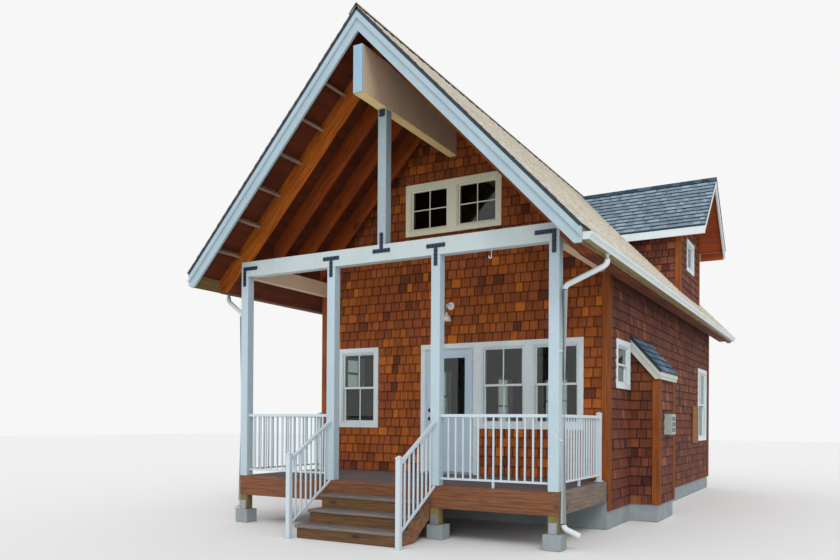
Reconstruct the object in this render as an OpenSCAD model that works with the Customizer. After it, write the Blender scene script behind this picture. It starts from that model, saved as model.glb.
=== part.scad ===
// Small shingled cabin with a covered front porch, a loft and one side dormer.
// Millimetres, +Z up, +Y from the porch towards the back of the cabin.
// The origin is on the ground, under the middle of the front foundation wall.

/* [Foundation and floors] */
// Height of the foundation walls above the ground
found_h = 410; // [300:10:600]
// Thickness of the foundation walls
found_t = 200; // [160:10:300]
// Thickness of the ground floor platform
floor_t = 300; // [200:10:400]
// Clear height of the ground floor room
room_h = 2580; // [2560:10:2700]
// Thickness of the loft floor
loft_floor_t = 200; // [120:10:260]
// Side of each porch pier
pier_w = 225; // [180:5:400]
// Height of each porch pier
pier_h = 190; // [100:10:220]
// Height of the steel plates of a pier bracket
bracket_h = 135; // [80:5:180]

/* [Cabin body] */
// Width over the side walls
body_w = 4960; // [4800:20:5200]
// Length over the front and back walls
body_len = 8420; // [8200:20:9600]
// Thickness of the outer walls
wall_t = 150; // [120:10:200]
// Height of the shingles' lowest edge above the ground
siding_z = 265; // [200:5:300]
// Width of each face of a corner board
corner_w = 88; // [60:2:120]
// Thickness of the corner boards
corner_t = 28; // [20:1:40]

/* [Porch] */
// Depth from the front of the posts to the front wall
porch_depth = 2060; // [1800:20:2400]
// Distance of the outer posts inside the side walls
porch_inset = 5; // [0:1:30]
// Step from the ground floor down to the deck
deck_drop = 20; // [10:5:60]
// Thickness of the deck boards
deck_t = 38; // [25:1:45]
// Height of the rim boards
rim_h = 287; // [240:1:300]
// Thickness of rim boards and joists
rim_t = 38; // [30:1:50]
// Side of the square posts
post_w = 130; // [110:5:160]
// Distance of the inner posts from the centre line
inner_post_x = 825; // [700:5:950]
// Height of the posts above the deck
post_h = 2952; // [2900:5:3000]
// Height of the porch beams
beam_h = 223; // [180:1:260]
// Width of the king post
king_w = 130; // [100:5:150]
// Width of the ridge beam
ridge_w = 140; // [100:5:160]
// Height of the ridge beam
ridge_h = 610; // [500:10:640]
// Thickness of the steel straps
strap_t = 6; // [4:1:10]
// Width of the steel straps
strap_w = 52; // [40:2:60]
// Length of a strap's arms
strap_len = 270; // [200:10:320]
// Reach of a strap's leg below the beam
strap_leg = 140; // [100:5:200]
// Reach of the middle strap above the beam
strap_rise = 150; // [100:5:200]
// Place of the porch lamp, left of the centre line
lamp_left = 10; // [0:10:200]
// Height of the porch lamp above the deck
lamp_h = 2630; // [2400:10:2700]
// Diameter of the lamp's shade
lamp_d = 155; // [140:5:240]

/* [Main roof] */
// Fall of the roof for each unit of run
roof_fall = 1.06; // [0.95:0.01:1.15]
// Overhang of the eaves beyond the side walls
eave_over = 445; // [350:5:520]
// Thickness of the roof covering and its boards
roof_t = 27; // [24:1:40]
// Depth of the rafters, square to the slope
rafter_d = 250; // [200:2:280]
// Thickness of one rafter
rafter_t = 38; // [30:1:50]
// Space from rafter to rafter over the porch
porch_pitch = 583; // [400:1:700]
// Space between rafter tails along the side walls
tail_pitch = 610; // [400:10:700]
// Overhang of the gable in front of the posts
front_over = 620; // [500:10:700]
// Overhang of the gable behind the back wall
back_over = 560; // [400:10:700]
// Height of the barge boards, upright
barge_h = 300; // [240:5:340]
// Thickness of the barge boards
barge_t = 38; // [25:1:50]
// Height of the strip along the top of the barge boards, upright
strip_h = 150; // [100:5:200]
// Thickness of that strip
strip_t = 25; // [10:1:35]
// Height of the eave boards
fascia_h = 170; // [140:5:220]
// Thickness of the eave boards
fascia_t = 20; // [15:1:30]
// Depth of the lookouts, square to the slope
lookout_d = 89; // [60:1:140]
// Distance from the centre line to the first lookout
lookout_x = 645; // [500:5:700]
// Space between lookouts, across the cabin
lookout_pitch = 380; // [300:5:420]
// Number of lookouts on each slope of a gable
lookout_n = 6; // [4:1:6]

/* [Gutters and downspouts] */
// Width of a gutter
gutter_w = 110; // [90:5:130]
// Height of a gutter
gutter_h = 90; // [80:2:130]
// Distance from the roof's edge down to the rim of a gutter
gutter_drop = 50; // [30:5:80]
// Thickness of the gutter metal
gutter_t = 4; // [3:1:6]
// Side of a downspout's square section
spout_d = 66; // [50:2:80]
// Straight drop of a downspout below the gutter
spout_drop = 120; // [80:5:160]
// Fall of a downspout for each unit of run, from the gutter to the post
spout_fall = 0.5; // [0.3:0.05:1]
// Distance from the front of the posts back to the gutter outlets
outlet_in = 250; // [150:10:400]
// Bend radius of the downspouts
spout_bend_r = 85; // [70:5:110]
// Reach of a downspout's foot beyond the pipe
spout_kick = 190; // [120:10:250]

/* [Dormer] */
// Distance of the dormer's ridge behind the front foundation wall's middle
dormer_y = 5960; // [5200:20:6400]
// Width over the dormer's side walls
dormer_w = 2060; // [1800:20:2300]
// Fall of the dormer roof for each unit of run
dormer_fall = 0.93; // [0.8:0.01:1]
// Drop from the main ridge to the dormer's ridge
dormer_drop = 164; // [80:1:250]
// Distance from the dormer's ridge to the front of its eave boards
dormer_half = 1340; // [1250:10:1450]
// Overhang of the dormer's gable in front of its window wall
dormer_over = 520; // [300:10:600]
// Height of the dormer's barge boards, upright
dormer_barge_h = 170; // [120:5:200]
// Thickness of the dormer's barge boards
dormer_barge_t = 40; // [25:1:50]
// Height of the dormer's eave boards
dormer_fascia_h = 150; // [120:5:180]

/* [Utility closet] */
// Gap between the casing of the first side window and the closet's roof
closet_gap = 10; // [5:5:100]
// Length of the closet along the side wall
closet_len = 1080; // [900:10:1300]
// How far the closet stands out of the side wall
closet_d = 425; // [350:5:500]
// Thickness of the closet's walls
closet_wall_t = 60; // [40:5:90]
// Height of the closet roof at the side wall
closet_top_z = 2827; // [2700:5:2900]
// Fall of the closet roof for each unit of run
closet_fall = 1.15; // [0.9:0.05:1.3]
// Overhang of the closet roof at its ends
closet_over = 90; // [60:10:120]
// Overhang of the closet roof at its eave
closet_eave_over = 60; // [50:5:90]
// Thickness of the closet roof
closet_roof_t = 36; // [25:1:45]
// Height of the boards along the edge of the closet roof
closet_board_h = 130; // [80:5:150]
// Thickness of those boards
closet_board_t = 22; // [15:1:25]
// Width of the meter box
meter_w = 310; // [250:10:360]
// Height of the meter box
meter_h = 320; // [250:10:400]
// Depth of the meter box
meter_d = 125; // [90:5:150]
// Height of the meter box above the ground
meter_z = 1330; // [1200:10:1500]
// Distance from the closet's front to the meter box
meter_in = 350; // [200:10:500]

/* [Door] */
// Width of the door leaf
door_w = 810; // [760:10:900]
// Height of the door leaf
door_h = 1905; // [1850:5:2000]
// Thickness of the door leaf
door_t = 45; // [35:1:55]
// Distance from the centre line to the hinge side of the leaf
door_hinge_x = 365; // [300:5:420]
// Gap around the door leaf
door_gap = 5; // [5:0.5:8]
// Thickness of the jambs
jamb_t = 30; // [20:1:40]
// Distance of the outer hinges from the leaf's ends
hinge_in = 210; // [150:5:300]
// Height of the lever handle above the leaf's foot
lever_up = 825; // [780:5:1050]
// Height of the lock above the lever
lock_up = 135; // [110:5:160]
// Width of the door's stiles and top rail
stile_w = 118; // [90:2:140]
// Height of the glass in the door
door_glass_h = 950; // [800:10:1050]
// Radius of a hinge knuckle
knuckle_r = 8; // [6:0.5:10]
// Radius of a hinge pin
pin_r = 4; // [3:0.5:5]

/* [Windows] */
// Height of the window heads above the door leaf
head_over = 21; // [10:1:60]
// Width of the outside casings
casing_w = 76; // [60:2:100]
// Thickness of the outside casings
casing_t = 25; // [18:1:30]
// Width of the window openings beside the door
front_win_w = 684; // [600:4:700]
// Height of the ground floor window openings
front_win_h = 1176; // [1000:4:1200]
// Width of the post between the door and the windows beside it
mullion_w = 130; // [100:5:160]
// Distance from the left corner to the middle of the single window
single_win_in = 720; // [660:10:900]
// Width of the single window opening
single_win_w = 658; // [560:2:760]
// Distance from the front corner to the middle of the first side window
first_win_in = 740; // [600:10:900]
// Width of the first side window opening
small_win_w = 628; // [500:2:700]
// Height of the first side window opening
small_win_h = 568; // [400:2:700]
// Distance from the back corner to the middle of the last side window
last_win_in = 835; // [700:5:1000]
// Width of the last side window opening
rear_win_w = 938; // [700:2:1000]
// Height of the last side window opening
rear_win_h = 1458; // [1100:2:1500]
// Width of the dormer window opening
dormer_win_w = 648; // [500:2:800]
// Height of the dormer window opening
dormer_win_h = 498; // [400:2:600]
// Height of the dormer window sill above the main roof at the wall
dormer_sill_up = 612; // [500:4:800]
// Width of each gable window opening
gable_win_w = 688; // [600:4:760]
// Height of the gable window openings
gable_win_h = 678; // [560:2:740]
// Space between the gable windows' casings and the rafters
gable_clear = 140; // [100:10:300]
// Thickness of the window glass
glass_t = 6; // [4:1:8]
// Width of the sash bars
sash_w = 36; // [30:1:50]

/* [Stairs and railings] */
// Number of treads below the deck
tread_n = 3; // [2:1:4]
// Run of each step
tread_run = 265; // [240:5:300]
// Thickness of the treads
tread_t = 38; // [30:1:45]
// Nosing of the treads in front of the risers
nosing = 25; // [10:5:35]
// Gap between the treads and the newel posts
tread_gap = 20; // [5:5:60]
// Height of the deck railing
rail_h = 914; // [850:2:1000]
// Width of the railings' top rails
rail_w = 44; // [34:2:60]
// Height of the top rails
rail_t = 38; // [30:1:50]
// Width of the railings' low rails
low_rail_w = 28; // [22:1:40]
// Height of the low rails
low_rail_t = 26; // [20:1:40]
// Space under the low rails
low_gap = 79; // [50:1:100]
// Side of the balusters
baluster_w = 19; // [14:1:25]
// Largest space from baluster to baluster
baluster_pitch = 108; // [90:2:125]
// Side of the newel posts and the short posts by the wall
newel_w = 60; // [50:2:80]
// Distance from the wall to the short posts
wall_gap = 170; // [100:5:250]
// Height of the newel posts above the ground
newel_h = 1070; // [1000:10:1150]

/* [Hidden] */

$fn = 32;
eps = 1;

shingle_red = "#8a4a30";
cedar = "#b5652f";
trim_white = "#dfe6ea";
cream = "#e8e2c8";
deck_brown = "#7a5136";
roof_grey = "#8d8478";

// Main places worked out from the sizes above
front_y = -found_t / 2;
back_y = front_y + body_len;
side_x = body_w / 2;
inner_x = side_x - wall_t;
inner_y0 = front_y + wall_t;
inner_y1 = back_y - wall_t;
floor_z = found_h + floor_t;
split_z = floor_z + room_h + loft_floor_t;
deck_h = floor_z - deck_drop;
porch_w = body_w - 2 * porch_inset;
porch_y = front_y - porch_depth;
outer_post_x = porch_w / 2 - post_w / 2;
beam_z = deck_h + post_h;
beam_top = beam_z + beam_h;
rim_z = deck_h - rim_h;

// Main roof: slope and heights over a distance x from the centre line
roof_half = side_x + eave_over;
slope = atan(roof_fall);
function upright(t) = t / cos(slope);
function rafter_z(x) = beam_top + roof_fall * (porch_w / 2 - post_w - abs(x));
function boards_z(x) = rafter_z(x) + upright(rafter_d);
function roof_z(x) = boards_z(x) + upright(roof_t);
eave_x = roof_half - fascia_t;
eave_z = boards_z(roof_half) - fascia_h;
tail_x = (rafter_z(0) - eave_z) / roof_fall;
gutter_z = boards_z(roof_half) - gutter_drop - gutter_h;
roof_y0 = porch_y - front_over + barge_t + strip_t;
roof_y1 = back_y + back_over - barge_t - strip_t;
ridge_seat = 5;
ridge_top = rafter_z(ridge_w / 2) + ridge_seat;

// Dormer: heights over a distance y from its ridge
dormer_ridge_z = roof_z(0) - dormer_drop;
dormer_slope = atan(dormer_fall);
dormer_t = roof_t / cos(dormer_slope);
function dormer_top(y) = dormer_ridge_z - dormer_fall * abs(y);
function dormer_under(y) = dormer_top(y) - dormer_t;
dormer_x = side_x + dormer_over;

// Closet: height of its roof over a distance x from the side wall
first_win_y = front_y + first_win_in;
closet_y = first_win_y + small_win_w / 2 + casing_w + closet_gap + closet_over;
closet_under = closet_roof_t / cos(atan(closet_fall));
closet_eave = closet_d + closet_eave_over;
function closet_roof_z(x) = closet_top_z - closet_fall * x;

// Door
door_x0 = door_hinge_x - door_w;
door_z = floor_z + 20;
door_top = door_z + door_h;
opening_x0 = door_x0 - door_gap - jamb_t;
opening_x1 = door_hinge_x + door_gap + jamb_t;
opening_top = door_top + door_gap + jamb_t;
hinge_x = door_hinge_x + door_gap;
hinge_y = front_y - knuckle_r - 4;
hinge_len = 90;
hinge_zs = [door_z + hinge_in, door_z + door_h / 2, door_top - hinge_in];

// Windows: wall, place along the wall, sill height, width, height, kind
head_z = door_top + head_over;
pair_x = opening_x1 + mullion_w + front_win_w / 2;
last_win_y = back_y - last_win_in;
mid_y = (front_y + back_y) / 2;
gable_x = gable_win_w / 2 + casing_w;
gable_head_z = rafter_z(2 * gable_x) - gable_clear - casing_w;
WALL = 0;
PLACE = 1;
SILL = 2;
WIDTH = 3;
HEIGHT = 4;
KIND = 5;
windows = [
    ["front", pair_x, head_z - front_win_h, front_win_w, front_win_h, "hung"],
    ["front", pair_x + front_win_w + 2 * casing_w, head_z - front_win_h, front_win_w, front_win_h, "hung"],
    ["front", single_win_in - side_x, head_z - front_win_h, single_win_w, front_win_h, "hung"],
    ["right", first_win_y, head_z - small_win_h, small_win_w, small_win_h, "hung"],
    ["right", last_win_y, head_z - rear_win_h, rear_win_w, rear_win_h, "hung"],
    ["left", first_win_y, head_z - small_win_h, small_win_w, small_win_h, "hung"],
    ["left", mid_y, head_z - front_win_h, single_win_w, front_win_h, "hung"],
    ["left", last_win_y, head_z - rear_win_h, rear_win_w, rear_win_h, "hung"],
    ["back", -side_x / 2, head_z - front_win_h, single_win_w, front_win_h, "hung"],
    ["back", side_x / 2, head_z - front_win_h, single_win_w, front_win_h, "hung"],
    ["dormer", dormer_y, roof_z(side_x) + dormer_sill_up, dormer_win_w, dormer_win_h, "fixed"],
];
gable_windows = [
    for (wall = ["front", "back"], x = [-gable_x, gable_x])
        [wall, x, gable_head_z - gable_win_h, gable_win_w, gable_win_h, "fixed"]
];

// Stairs
step_h = deck_h / (tread_n + 1);
stair_out = tread_n * tread_run;
tread_w = 2 * inner_post_x - newel_w - 2 * tread_gap;
stringer_in = 18;
stringer_x = tread_w / 2 - stringer_in;
stringer_foot = 1.5 * tread_run;
newel_y = porch_y - stair_out - nosing - newel_w / 2 - 20;
rail_post_y = front_y - wall_gap - newel_w;

// An outline drawn in X and Z, run along Y from y0 to y1
module along_y(y0, y1) translate([0, y1, 0]) rotate([90, 0, 0]) linear_extrude(y1 - y0) children();

// An outline drawn in Y and Z, run along X from x0 to x1
module along_x(x0, x1) translate([x0, 0, 0]) rotate([90, 0, 90]) linear_extrude(x1 - x0) children();

// A block between two corners
module block(a, b) translate(a) cube(b - a);

// The children and their mirror image across the cabin
module both_sides() {
    children();
    mirror([1, 0, 0]) children();
}

// The children, placed from a middle at y, and their mirror image along the cabin
module both_ends(y) translate([0, y, 0]) {
    children();
    mirror([0, 1, 0]) children();
}

// Everything below the top of the right main roof slope, or below a line a lift above it
module below_right_roof(lift = 0)
    along_y(0, back_y)
        polygon([[0, 0], [2 * side_x, 0], [2 * side_x, roof_z(2 * side_x) + lift], [0, roof_z(0) + lift]]);

// Stands the children, made for the front wall, on one of the walls
module on_wall(w) {
    if (w[WALL] == "front") translate([w[PLACE], front_y, w[SILL]]) children();
    if (w[WALL] == "back") translate([w[PLACE], back_y, w[SILL]]) rotate(180) children();
    if (w[WALL] == "right" || w[WALL] == "dormer")
        translate([side_x, w[PLACE], w[SILL]]) rotate(90) children();
    if (w[WALL] == "left") translate([-side_x, w[PLACE], w[SILL]]) rotate(-90) children();
}

// Holes in one wall for its windows
module window_holes(list, wall)
    for (w = list)
        if (w[WALL] == wall)
            on_wall(w) translate([-w[WIDTH] / 2, -eps, 0]) cube([w[WIDTH], wall_t + 2 * eps, w[HEIGHT]]);

// A flat ring in the plane of the wall, from depth y0 to y1
module ring(w, h, bar, y0, y1)
    difference() {
        translate([-w / 2, y0, 0]) cube([w, y1 - y0, h]);
        translate([-w / 2 + bar, y0 - eps, bar]) cube([w - 2 * bar, y1 - y0 + 2 * eps, h - 2 * bar]);
    }

module foundation() color("#b9b4a8") {
    difference() {
        block([-side_x, front_y, 0], [side_x, back_y, found_h]);
        block([-side_x + found_t, front_y + found_t, -eps],
            [side_x - found_t, back_y - found_t, found_h + eps]);
    }
    block([side_x, closet_y, 0], [side_x + closet_d, closet_y + closet_len, found_h]);
    both_sides() {
        translate([outer_post_x - pier_w / 2, porch_y + post_w / 2 - pier_w / 2, 0])
            cube([pier_w, pier_w, pier_h]);
        translate([inner_post_x - pier_w / 2, porch_y, 0]) cube([pier_w, pier_w, pier_h]);
    }
}

module floor() color("#a98a63") block([-side_x, front_y, found_h], [side_x, back_y, floor_z]);

module loft_floor() color("#a98a63")
    block([-inner_x, inner_y0, floor_z + room_h], [inner_x, inner_y1, split_z]);

// Rim boards, joists and the short posts that stand on the piers
module deck_frame() color(deck_brown) {
    w = porch_w / 2;
    joist_z = deck_h - deck_t;
    difference() {
        block([-w, porch_y, rim_z], [w, front_y, deck_h]);
        block([-w + rim_t, porch_y + rim_t, rim_z - eps], [w - rim_t, front_y - rim_t, deck_h + eps]);
        block([-w + rim_t, front_y - rim_t - eps, joist_z], [w - rim_t, front_y + eps, deck_h + eps]);
    }
    bays = 12;
    for (i = [1:bays - 1])
        translate([-w + i * porch_w / bays - rim_t / 2, porch_y + rim_t, rim_z + 50])
            cube([rim_t, porch_depth - 2 * rim_t, joist_z - rim_z - 50]);
    for (x = [-outer_post_x, -inner_post_x, inner_post_x, outer_post_x])
        translate([x - post_w / 2, porch_y, pier_h + 6]) cube([post_w, post_w, rim_z - pier_h - 6]);
}

module deck() color("#8a6f5a")
    block([-porch_w / 2 + rim_t, porch_y + rim_t, deck_h - deck_t], [porch_w / 2 - rim_t, front_y, deck_h]);

// Saddles that hold the short posts on the piers
module pier_brackets() color("#b8bcc0") {
    plate_t = 5;
    plate_in = 15;
    plate_h = min(bracket_h, rim_z - pier_h);
    for (x = [-outer_post_x, -inner_post_x, inner_post_x, outer_post_x])
        translate([x - post_w / 2, porch_y, pier_h]) {
            translate([0, -plate_t, 0]) cube([post_w, post_w + 2 * plate_t, 6]);
            for (y = [-plate_t, post_w])
                translate([plate_in, y, 0]) cube([post_w - 2 * plate_in, plate_t, plate_h]);
        }
}

module porch_posts() color(trim_white)
    for (x = [-outer_post_x, -inner_post_x, inner_post_x, outer_post_x])
        translate([x - post_w / 2, porch_y, deck_h]) cube([post_w, post_w, post_h]);

module porch_beams() color(trim_white) {
    block([-porch_w / 2, porch_y, beam_z], [porch_w / 2, porch_y + post_w, beam_top]);
    both_sides() block([porch_w / 2 - post_w, porch_y, beam_z], [porch_w / 2, front_y, beam_top]);
}

module king_post() color(trim_white)
    block([-king_w / 2, porch_y, beam_top], [king_w / 2, porch_y + post_w, ridge_top - ridge_h]);

module ridge_beam() color(trim_white)
    block([-ridge_w / 2, roof_y0 - 25, ridge_top - ridge_h], [ridge_w / 2, front_y, ridge_top]);

// Straps over the joints of the posts, the beam and the king post
module steel_straps() color("#22252a") {
    arm_z = beam_z + beam_h / 2 - 20;
    leg_z = beam_z - strap_leg;
    foot_w = 76;
    foot_h = 100;
    for (x = [-inner_post_x, inner_post_x]) {
        block([x - strap_len / 2, porch_y - strap_t, arm_z], [x + strap_len / 2, porch_y, arm_z + strap_w]);
        block([x - strap_w / 2, porch_y - strap_t, leg_z], [x + strap_w / 2, porch_y, arm_z]);
    }
    both_sides() {
        edge = porch_w / 2 - 40;
        block([edge - strap_len, porch_y - strap_t, arm_z], [edge, porch_y, arm_z + strap_w]);
        block([edge - strap_w, porch_y - strap_t, leg_z], [edge, porch_y, arm_z]);
    }
    block([-strap_len / 2, porch_y - strap_t, arm_z + 20], [strap_len / 2, porch_y, arm_z + 20 + strap_w]);
    block([-strap_w / 2, porch_y - strap_t, arm_z + 20 + strap_w], [strap_w / 2, porch_y, beam_top + strap_rise]);
    block([-foot_w / 2, porch_y - strap_t, ridge_top - ridge_h - foot_h],
        [foot_w / 2, porch_y, ridge_top - ridge_h]);
}

// One rafter from the ridge to the eave board
module rafter(y, t)
    along_y(y, y + t)
        polygon([[0, rafter_z(0)], [tail_x, eave_z], [eave_x, eave_z], [eave_x, boards_z(eave_x)],
            [0, boards_z(0)]]);

// A short piece of rafter outside the side wall
module rafter_tail(y)
    along_y(y, y + rafter_t)
        polygon([[side_x, rafter_z(side_x)], [tail_x, eave_z], [eave_x, eave_z],
            [eave_x, boards_z(eave_x)], [side_x, boards_z(side_x)]]);

// A bar under the roof boards that carries the barge boards
module lookout(x, y0, y1)
    translate([x, y0, boards_z(x)]) rotate([0, slope, 0])
        translate([0, 0, -lookout_d]) cube([rafter_t, y1 - y0, lookout_d]);

module rafters_right() color("#a8652f") {
    difference() {
        union() {
            rafter(porch_y, 2 * rafter_t);
            for (y = [porch_y + porch_pitch:porch_pitch:front_y - rafter_t]) rafter(y, rafter_t);
        }
        porch_beams();
        ridge_beam();
    }
    for (y = [front_y + tail_pitch / 2:tail_pitch:back_y - rafter_t]) rafter_tail(y);
    for (i = [0:lookout_n - 1]) {
        x = lookout_x + i * lookout_pitch;
        lookout(x, roof_y0, porch_y);
        lookout(x, back_y, roof_y1);
    }
}

module rafters_left() mirror([1, 0, 0]) rafters_right();

// The space inside the dormer, from its ridge down
module dormer_prism(half, x0, x1)
    along_x(x0, x1) translate([dormer_y, 0])
        polygon([[-half, 0], [half, 0], [half, dormer_under(half)], [0, dormer_under(0)],
            [-half, dormer_under(half)]]);

// Rafter space over the rooms, closed with boards below
module ceiling() color("#d8c9a8")
    difference() {
        along_y(inner_y0, inner_y1)
            polygon([[-inner_x, rafter_z(inner_x)], [0, rafter_z(0)], [inner_x, rafter_z(inner_x)],
                [inner_x, boards_z(inner_x)], [0, boards_z(0)], [-inner_x, boards_z(inner_x)]]);
        dormer_prism(dormer_w / 2 - wall_t, 0, inner_x + eps);
    }

module roof_slope()
    along_y(roof_y0, roof_y1)
        polygon([[0, boards_z(0)], [roof_half, boards_z(roof_half)], [roof_half, roof_z(roof_half)],
            [0, roof_z(0)]]);

module roof_left() color(roof_grey) mirror([1, 0, 0]) roof_slope();

module roof_right() color(roof_grey)
    difference() {
        roof_slope();
        dormer_prism(dormer_w / 2, 0, side_x);
    }

// Both sloping boards of one gable, with the strip along their top
module barge(y, out) {
    module board(h, y0, y1)
        along_y(min(y0, y1), max(y0, y1))
            polygon([[-roof_half, roof_z(roof_half) - h], [0, roof_z(0) - h],
                [roof_half, roof_z(roof_half) - h], [roof_half, roof_z(roof_half)],
                [0, roof_z(0)], [-roof_half, roof_z(roof_half)]]);
    board(barge_h, y, y + out * barge_t);
    board(strip_h, y, y + out * (barge_t + strip_t));
}

module barge_boards() color(trim_white)
    difference() {
        union() {
            barge(roof_y0, -1);
            barge(roof_y1, 1);
        }
        block([-2 * roof_half, 2 * porch_y, 0], [2 * roof_half, 2 * back_y, eave_z]);
    }

module eave_boards() color(cedar) both_sides()
    along_y(roof_y0, roof_y1)
        polygon([[eave_x, eave_z], [roof_half, eave_z], [roof_half, boards_z(roof_half)],
            [eave_x, boards_z(eave_x)]]);

// Gutter outline: a flat back and floor, and a front that rolls outwards
module gutter_outline(g)
    polygon([[g, g], [0.66 * gutter_w - g / 2, g], [0.8 * gutter_w - g, 0.42 * gutter_h],
        [gutter_w - g, 0.66 * gutter_h], [gutter_w - g, gutter_h + (g > 0 ? eps : 0)],
        [g, gutter_h + (g > 0 ? eps : 0)]]);

module gutters() color(trim_white) both_sides()
    translate([roof_half, 0, gutter_z])
        difference() {
            along_y(roof_y0, roof_y1) gutter_outline(0);
            along_y(roof_y0 + gutter_t, roof_y1 - gutter_t) gutter_outline(gutter_t);
        }

// Downspout, drawn in the upright plane through the post and the gutter outlet:
// distance from the pipe beside the post, and height
spout_x = porch_w / 2 + 0.66 * spout_d + 1;
spout_y = porch_y + post_w / 2;
outlet_x = roof_half + 0.4 * gutter_w;
outlet_run = norm([outlet_x - spout_x, outlet_in - post_w / 2]);
outlet_turn = asin((outlet_in - post_w / 2) / outlet_run);
spout_path = [
    [outlet_run, gutter_z],
    [outlet_run, gutter_z - spout_drop],
    [0, gutter_z - spout_drop - spout_fall * outlet_run],
    [0, pier_h + 75],
    [spout_kick, pier_h - 12],
];
function heading(a, b) = atan2(b[1] - a[1], b[0] - a[0]);
function left_of(angle) = [-sin(angle), cos(angle)];

// Points of a rounded turn at p, from heading a to heading b, at a distance left of the path
function turn_points(p, a, b, left) =
    let (side = b > a ? 1 : -1)
    let (start = p - spout_bend_r * tan(abs(b - a) / 2) * [cos(a), sin(a)])
    let (centre = start + side * spout_bend_r * left_of(a))
    [for (k = [0:7]) let (h = a + (b - a) * k / 7) centre + (left - side * spout_bend_r) * left_of(h)];

// One edge of the pipe, at a distance left of the path
function pipe_edge(path, left) =
    let (last = len(path) - 1)
    concat(
        [path[0] + left * left_of(heading(path[0], path[1]))],
        [for (i = [1:last - 1])
            each turn_points(path[i], heading(path[i - 1], path[i]), heading(path[i], path[i + 1]), left)],
        [path[last] + left * left_of(heading(path[last - 1], path[last]))]
    );
function backwards(list) = [for (i = [len(list) - 1:-1:0]) list[i]];

module downspouts() color(trim_white) both_sides()
    translate([spout_x, spout_y, 0]) rotate([0, 0, outlet_turn])
        along_y(-spout_d / 2, spout_d / 2)
            polygon(concat(
                pipe_edge(spout_path, spout_d / 2), backwards(pipe_edge(spout_path, -spout_d / 2))
            ));

module front_wall_left() color(shingle_red)
    difference() {
        block([-side_x, front_y, floor_z], [opening_x0, inner_y0, split_z]);
        window_holes(windows, "front");
    }

module front_wall_right() color(shingle_red)
    difference() {
        block([opening_x1, front_y, floor_z], [side_x, inner_y0, split_z]);
        window_holes(windows, "front");
    }

module front_wall_over_door() color(shingle_red)
    block([opening_x0, front_y, opening_top], [opening_x1, inner_y0, split_z]);

// The wall above the loft floor, up to the roof boards
module gable_outline(z0)
    polygon([[-side_x, z0], [side_x, z0], [side_x, boards_z(side_x)], [0, boards_z(0)],
        [-side_x, boards_z(side_x)]]);

module front_gable() color(shingle_red)
    difference() {
        along_y(front_y, inner_y0) gable_outline(split_z);
        window_holes(gable_windows, "front");
    }

module back_wall() color(shingle_red)
    difference() {
        along_y(inner_y1, back_y) gable_outline(floor_z);
        window_holes(windows, "back");
        window_holes(gable_windows, "back");
    }

module side_wall()
    along_y(inner_y0, inner_y1)
        polygon([[inner_x, floor_z], [side_x, floor_z], [side_x, boards_z(side_x)],
            [inner_x, boards_z(inner_x)]]);

module left_wall() color(shingle_red)
    difference() {
        mirror([1, 0, 0]) side_wall();
        window_holes(windows, "left");
    }

module right_wall() color(shingle_red)
    difference() {
        side_wall();
        window_holes(windows, "right");
    }

// Two boards around an outer corner that faces the front and the right
module corner(x, y, front_z, side_z, top_z) {
    block([x - corner_w, y - corner_t, front_z], [x, y, top_z]);
    block([x, y - corner_t, side_z], [x + corner_t, y + corner_w, top_z]);
}

module corner_boards() color(cedar) {
    both_sides() {
        corner(side_x, front_y, deck_h, siding_z, beam_z);
        mirror([0, 1, 0]) corner(side_x, -back_y, siding_z, siding_z, rafter_z(side_x));
    }
    both_ends(closet_y + closet_len / 2)
        corner(side_x + closet_d, -closet_len / 2, siding_z, siding_z,
            closet_roof_z(closet_d + corner_t) - closet_under);
    difference() {
        both_ends(dormer_y)
            corner(side_x, -dormer_w / 2, split_z, split_z, dormer_under(dormer_w / 2 + corner_t));
        below_right_roof();
    }
}

module dormer_walls() color(shingle_red)
    difference() {
        dormer_prism(dormer_w / 2, 0, side_x);
        dormer_prism(dormer_w / 2 - wall_t, -eps, inner_x);
        below_right_roof(-upright(roof_t));
        window_holes(windows, "dormer");
    }

module dormer_roof() color("#5f6f7a")
    difference() {
        along_x(0, dormer_x - dormer_barge_t) translate([dormer_y, 0])
            polygon([[-dormer_half, dormer_under(dormer_half)], [0, dormer_under(0)],
                [dormer_half, dormer_under(dormer_half)], [dormer_half, dormer_top(dormer_half)],
                [0, dormer_top(0)], [-dormer_half, dormer_top(dormer_half)]]);
        below_right_roof();
    }

// Barge boards of the dormer's gable, and its two eave boards
module dormer_trim() color(trim_white)
    difference() {
        union() {
            along_x(dormer_x - dormer_barge_t, dormer_x) translate([dormer_y, 0])
                polygon([[-dormer_half, dormer_top(dormer_half) - dormer_barge_h],
                    [0, dormer_top(0) - dormer_barge_h],
                    [dormer_half, dormer_top(dormer_half) - dormer_barge_h],
                    [dormer_half, dormer_top(dormer_half)], [0, dormer_top(0)],
                    [-dormer_half, dormer_top(dormer_half)]]);
            along_x(0, dormer_x) translate([dormer_y, 0])
                for (side = [-1, 1])
                    scale([side, 1])
                        polygon([[dormer_half - fascia_t, dormer_under(dormer_half) - dormer_fascia_h],
                            [dormer_half, dormer_under(dormer_half) - dormer_fascia_h],
                            [dormer_half, dormer_under(dormer_half)],
                            [dormer_half - fascia_t, dormer_under(dormer_half - fascia_t)]]);
        }
        below_right_roof();
    }

module closet_walls() color(shingle_red)
    difference() {
        along_y(closet_y, closet_y + closet_len)
            polygon([[side_x, found_h], [side_x + closet_d, found_h],
                [side_x + closet_d, closet_roof_z(closet_d) - closet_under],
                [side_x, closet_roof_z(0) - closet_under]]);
        along_y(closet_y + closet_wall_t, closet_y + closet_len - closet_wall_t)
            polygon([[side_x - eps, found_h - eps], [side_x + closet_d - closet_wall_t, found_h - eps],
                [side_x + closet_d - closet_wall_t, closet_top_z], [side_x - eps, closet_top_z]]);
    }

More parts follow.
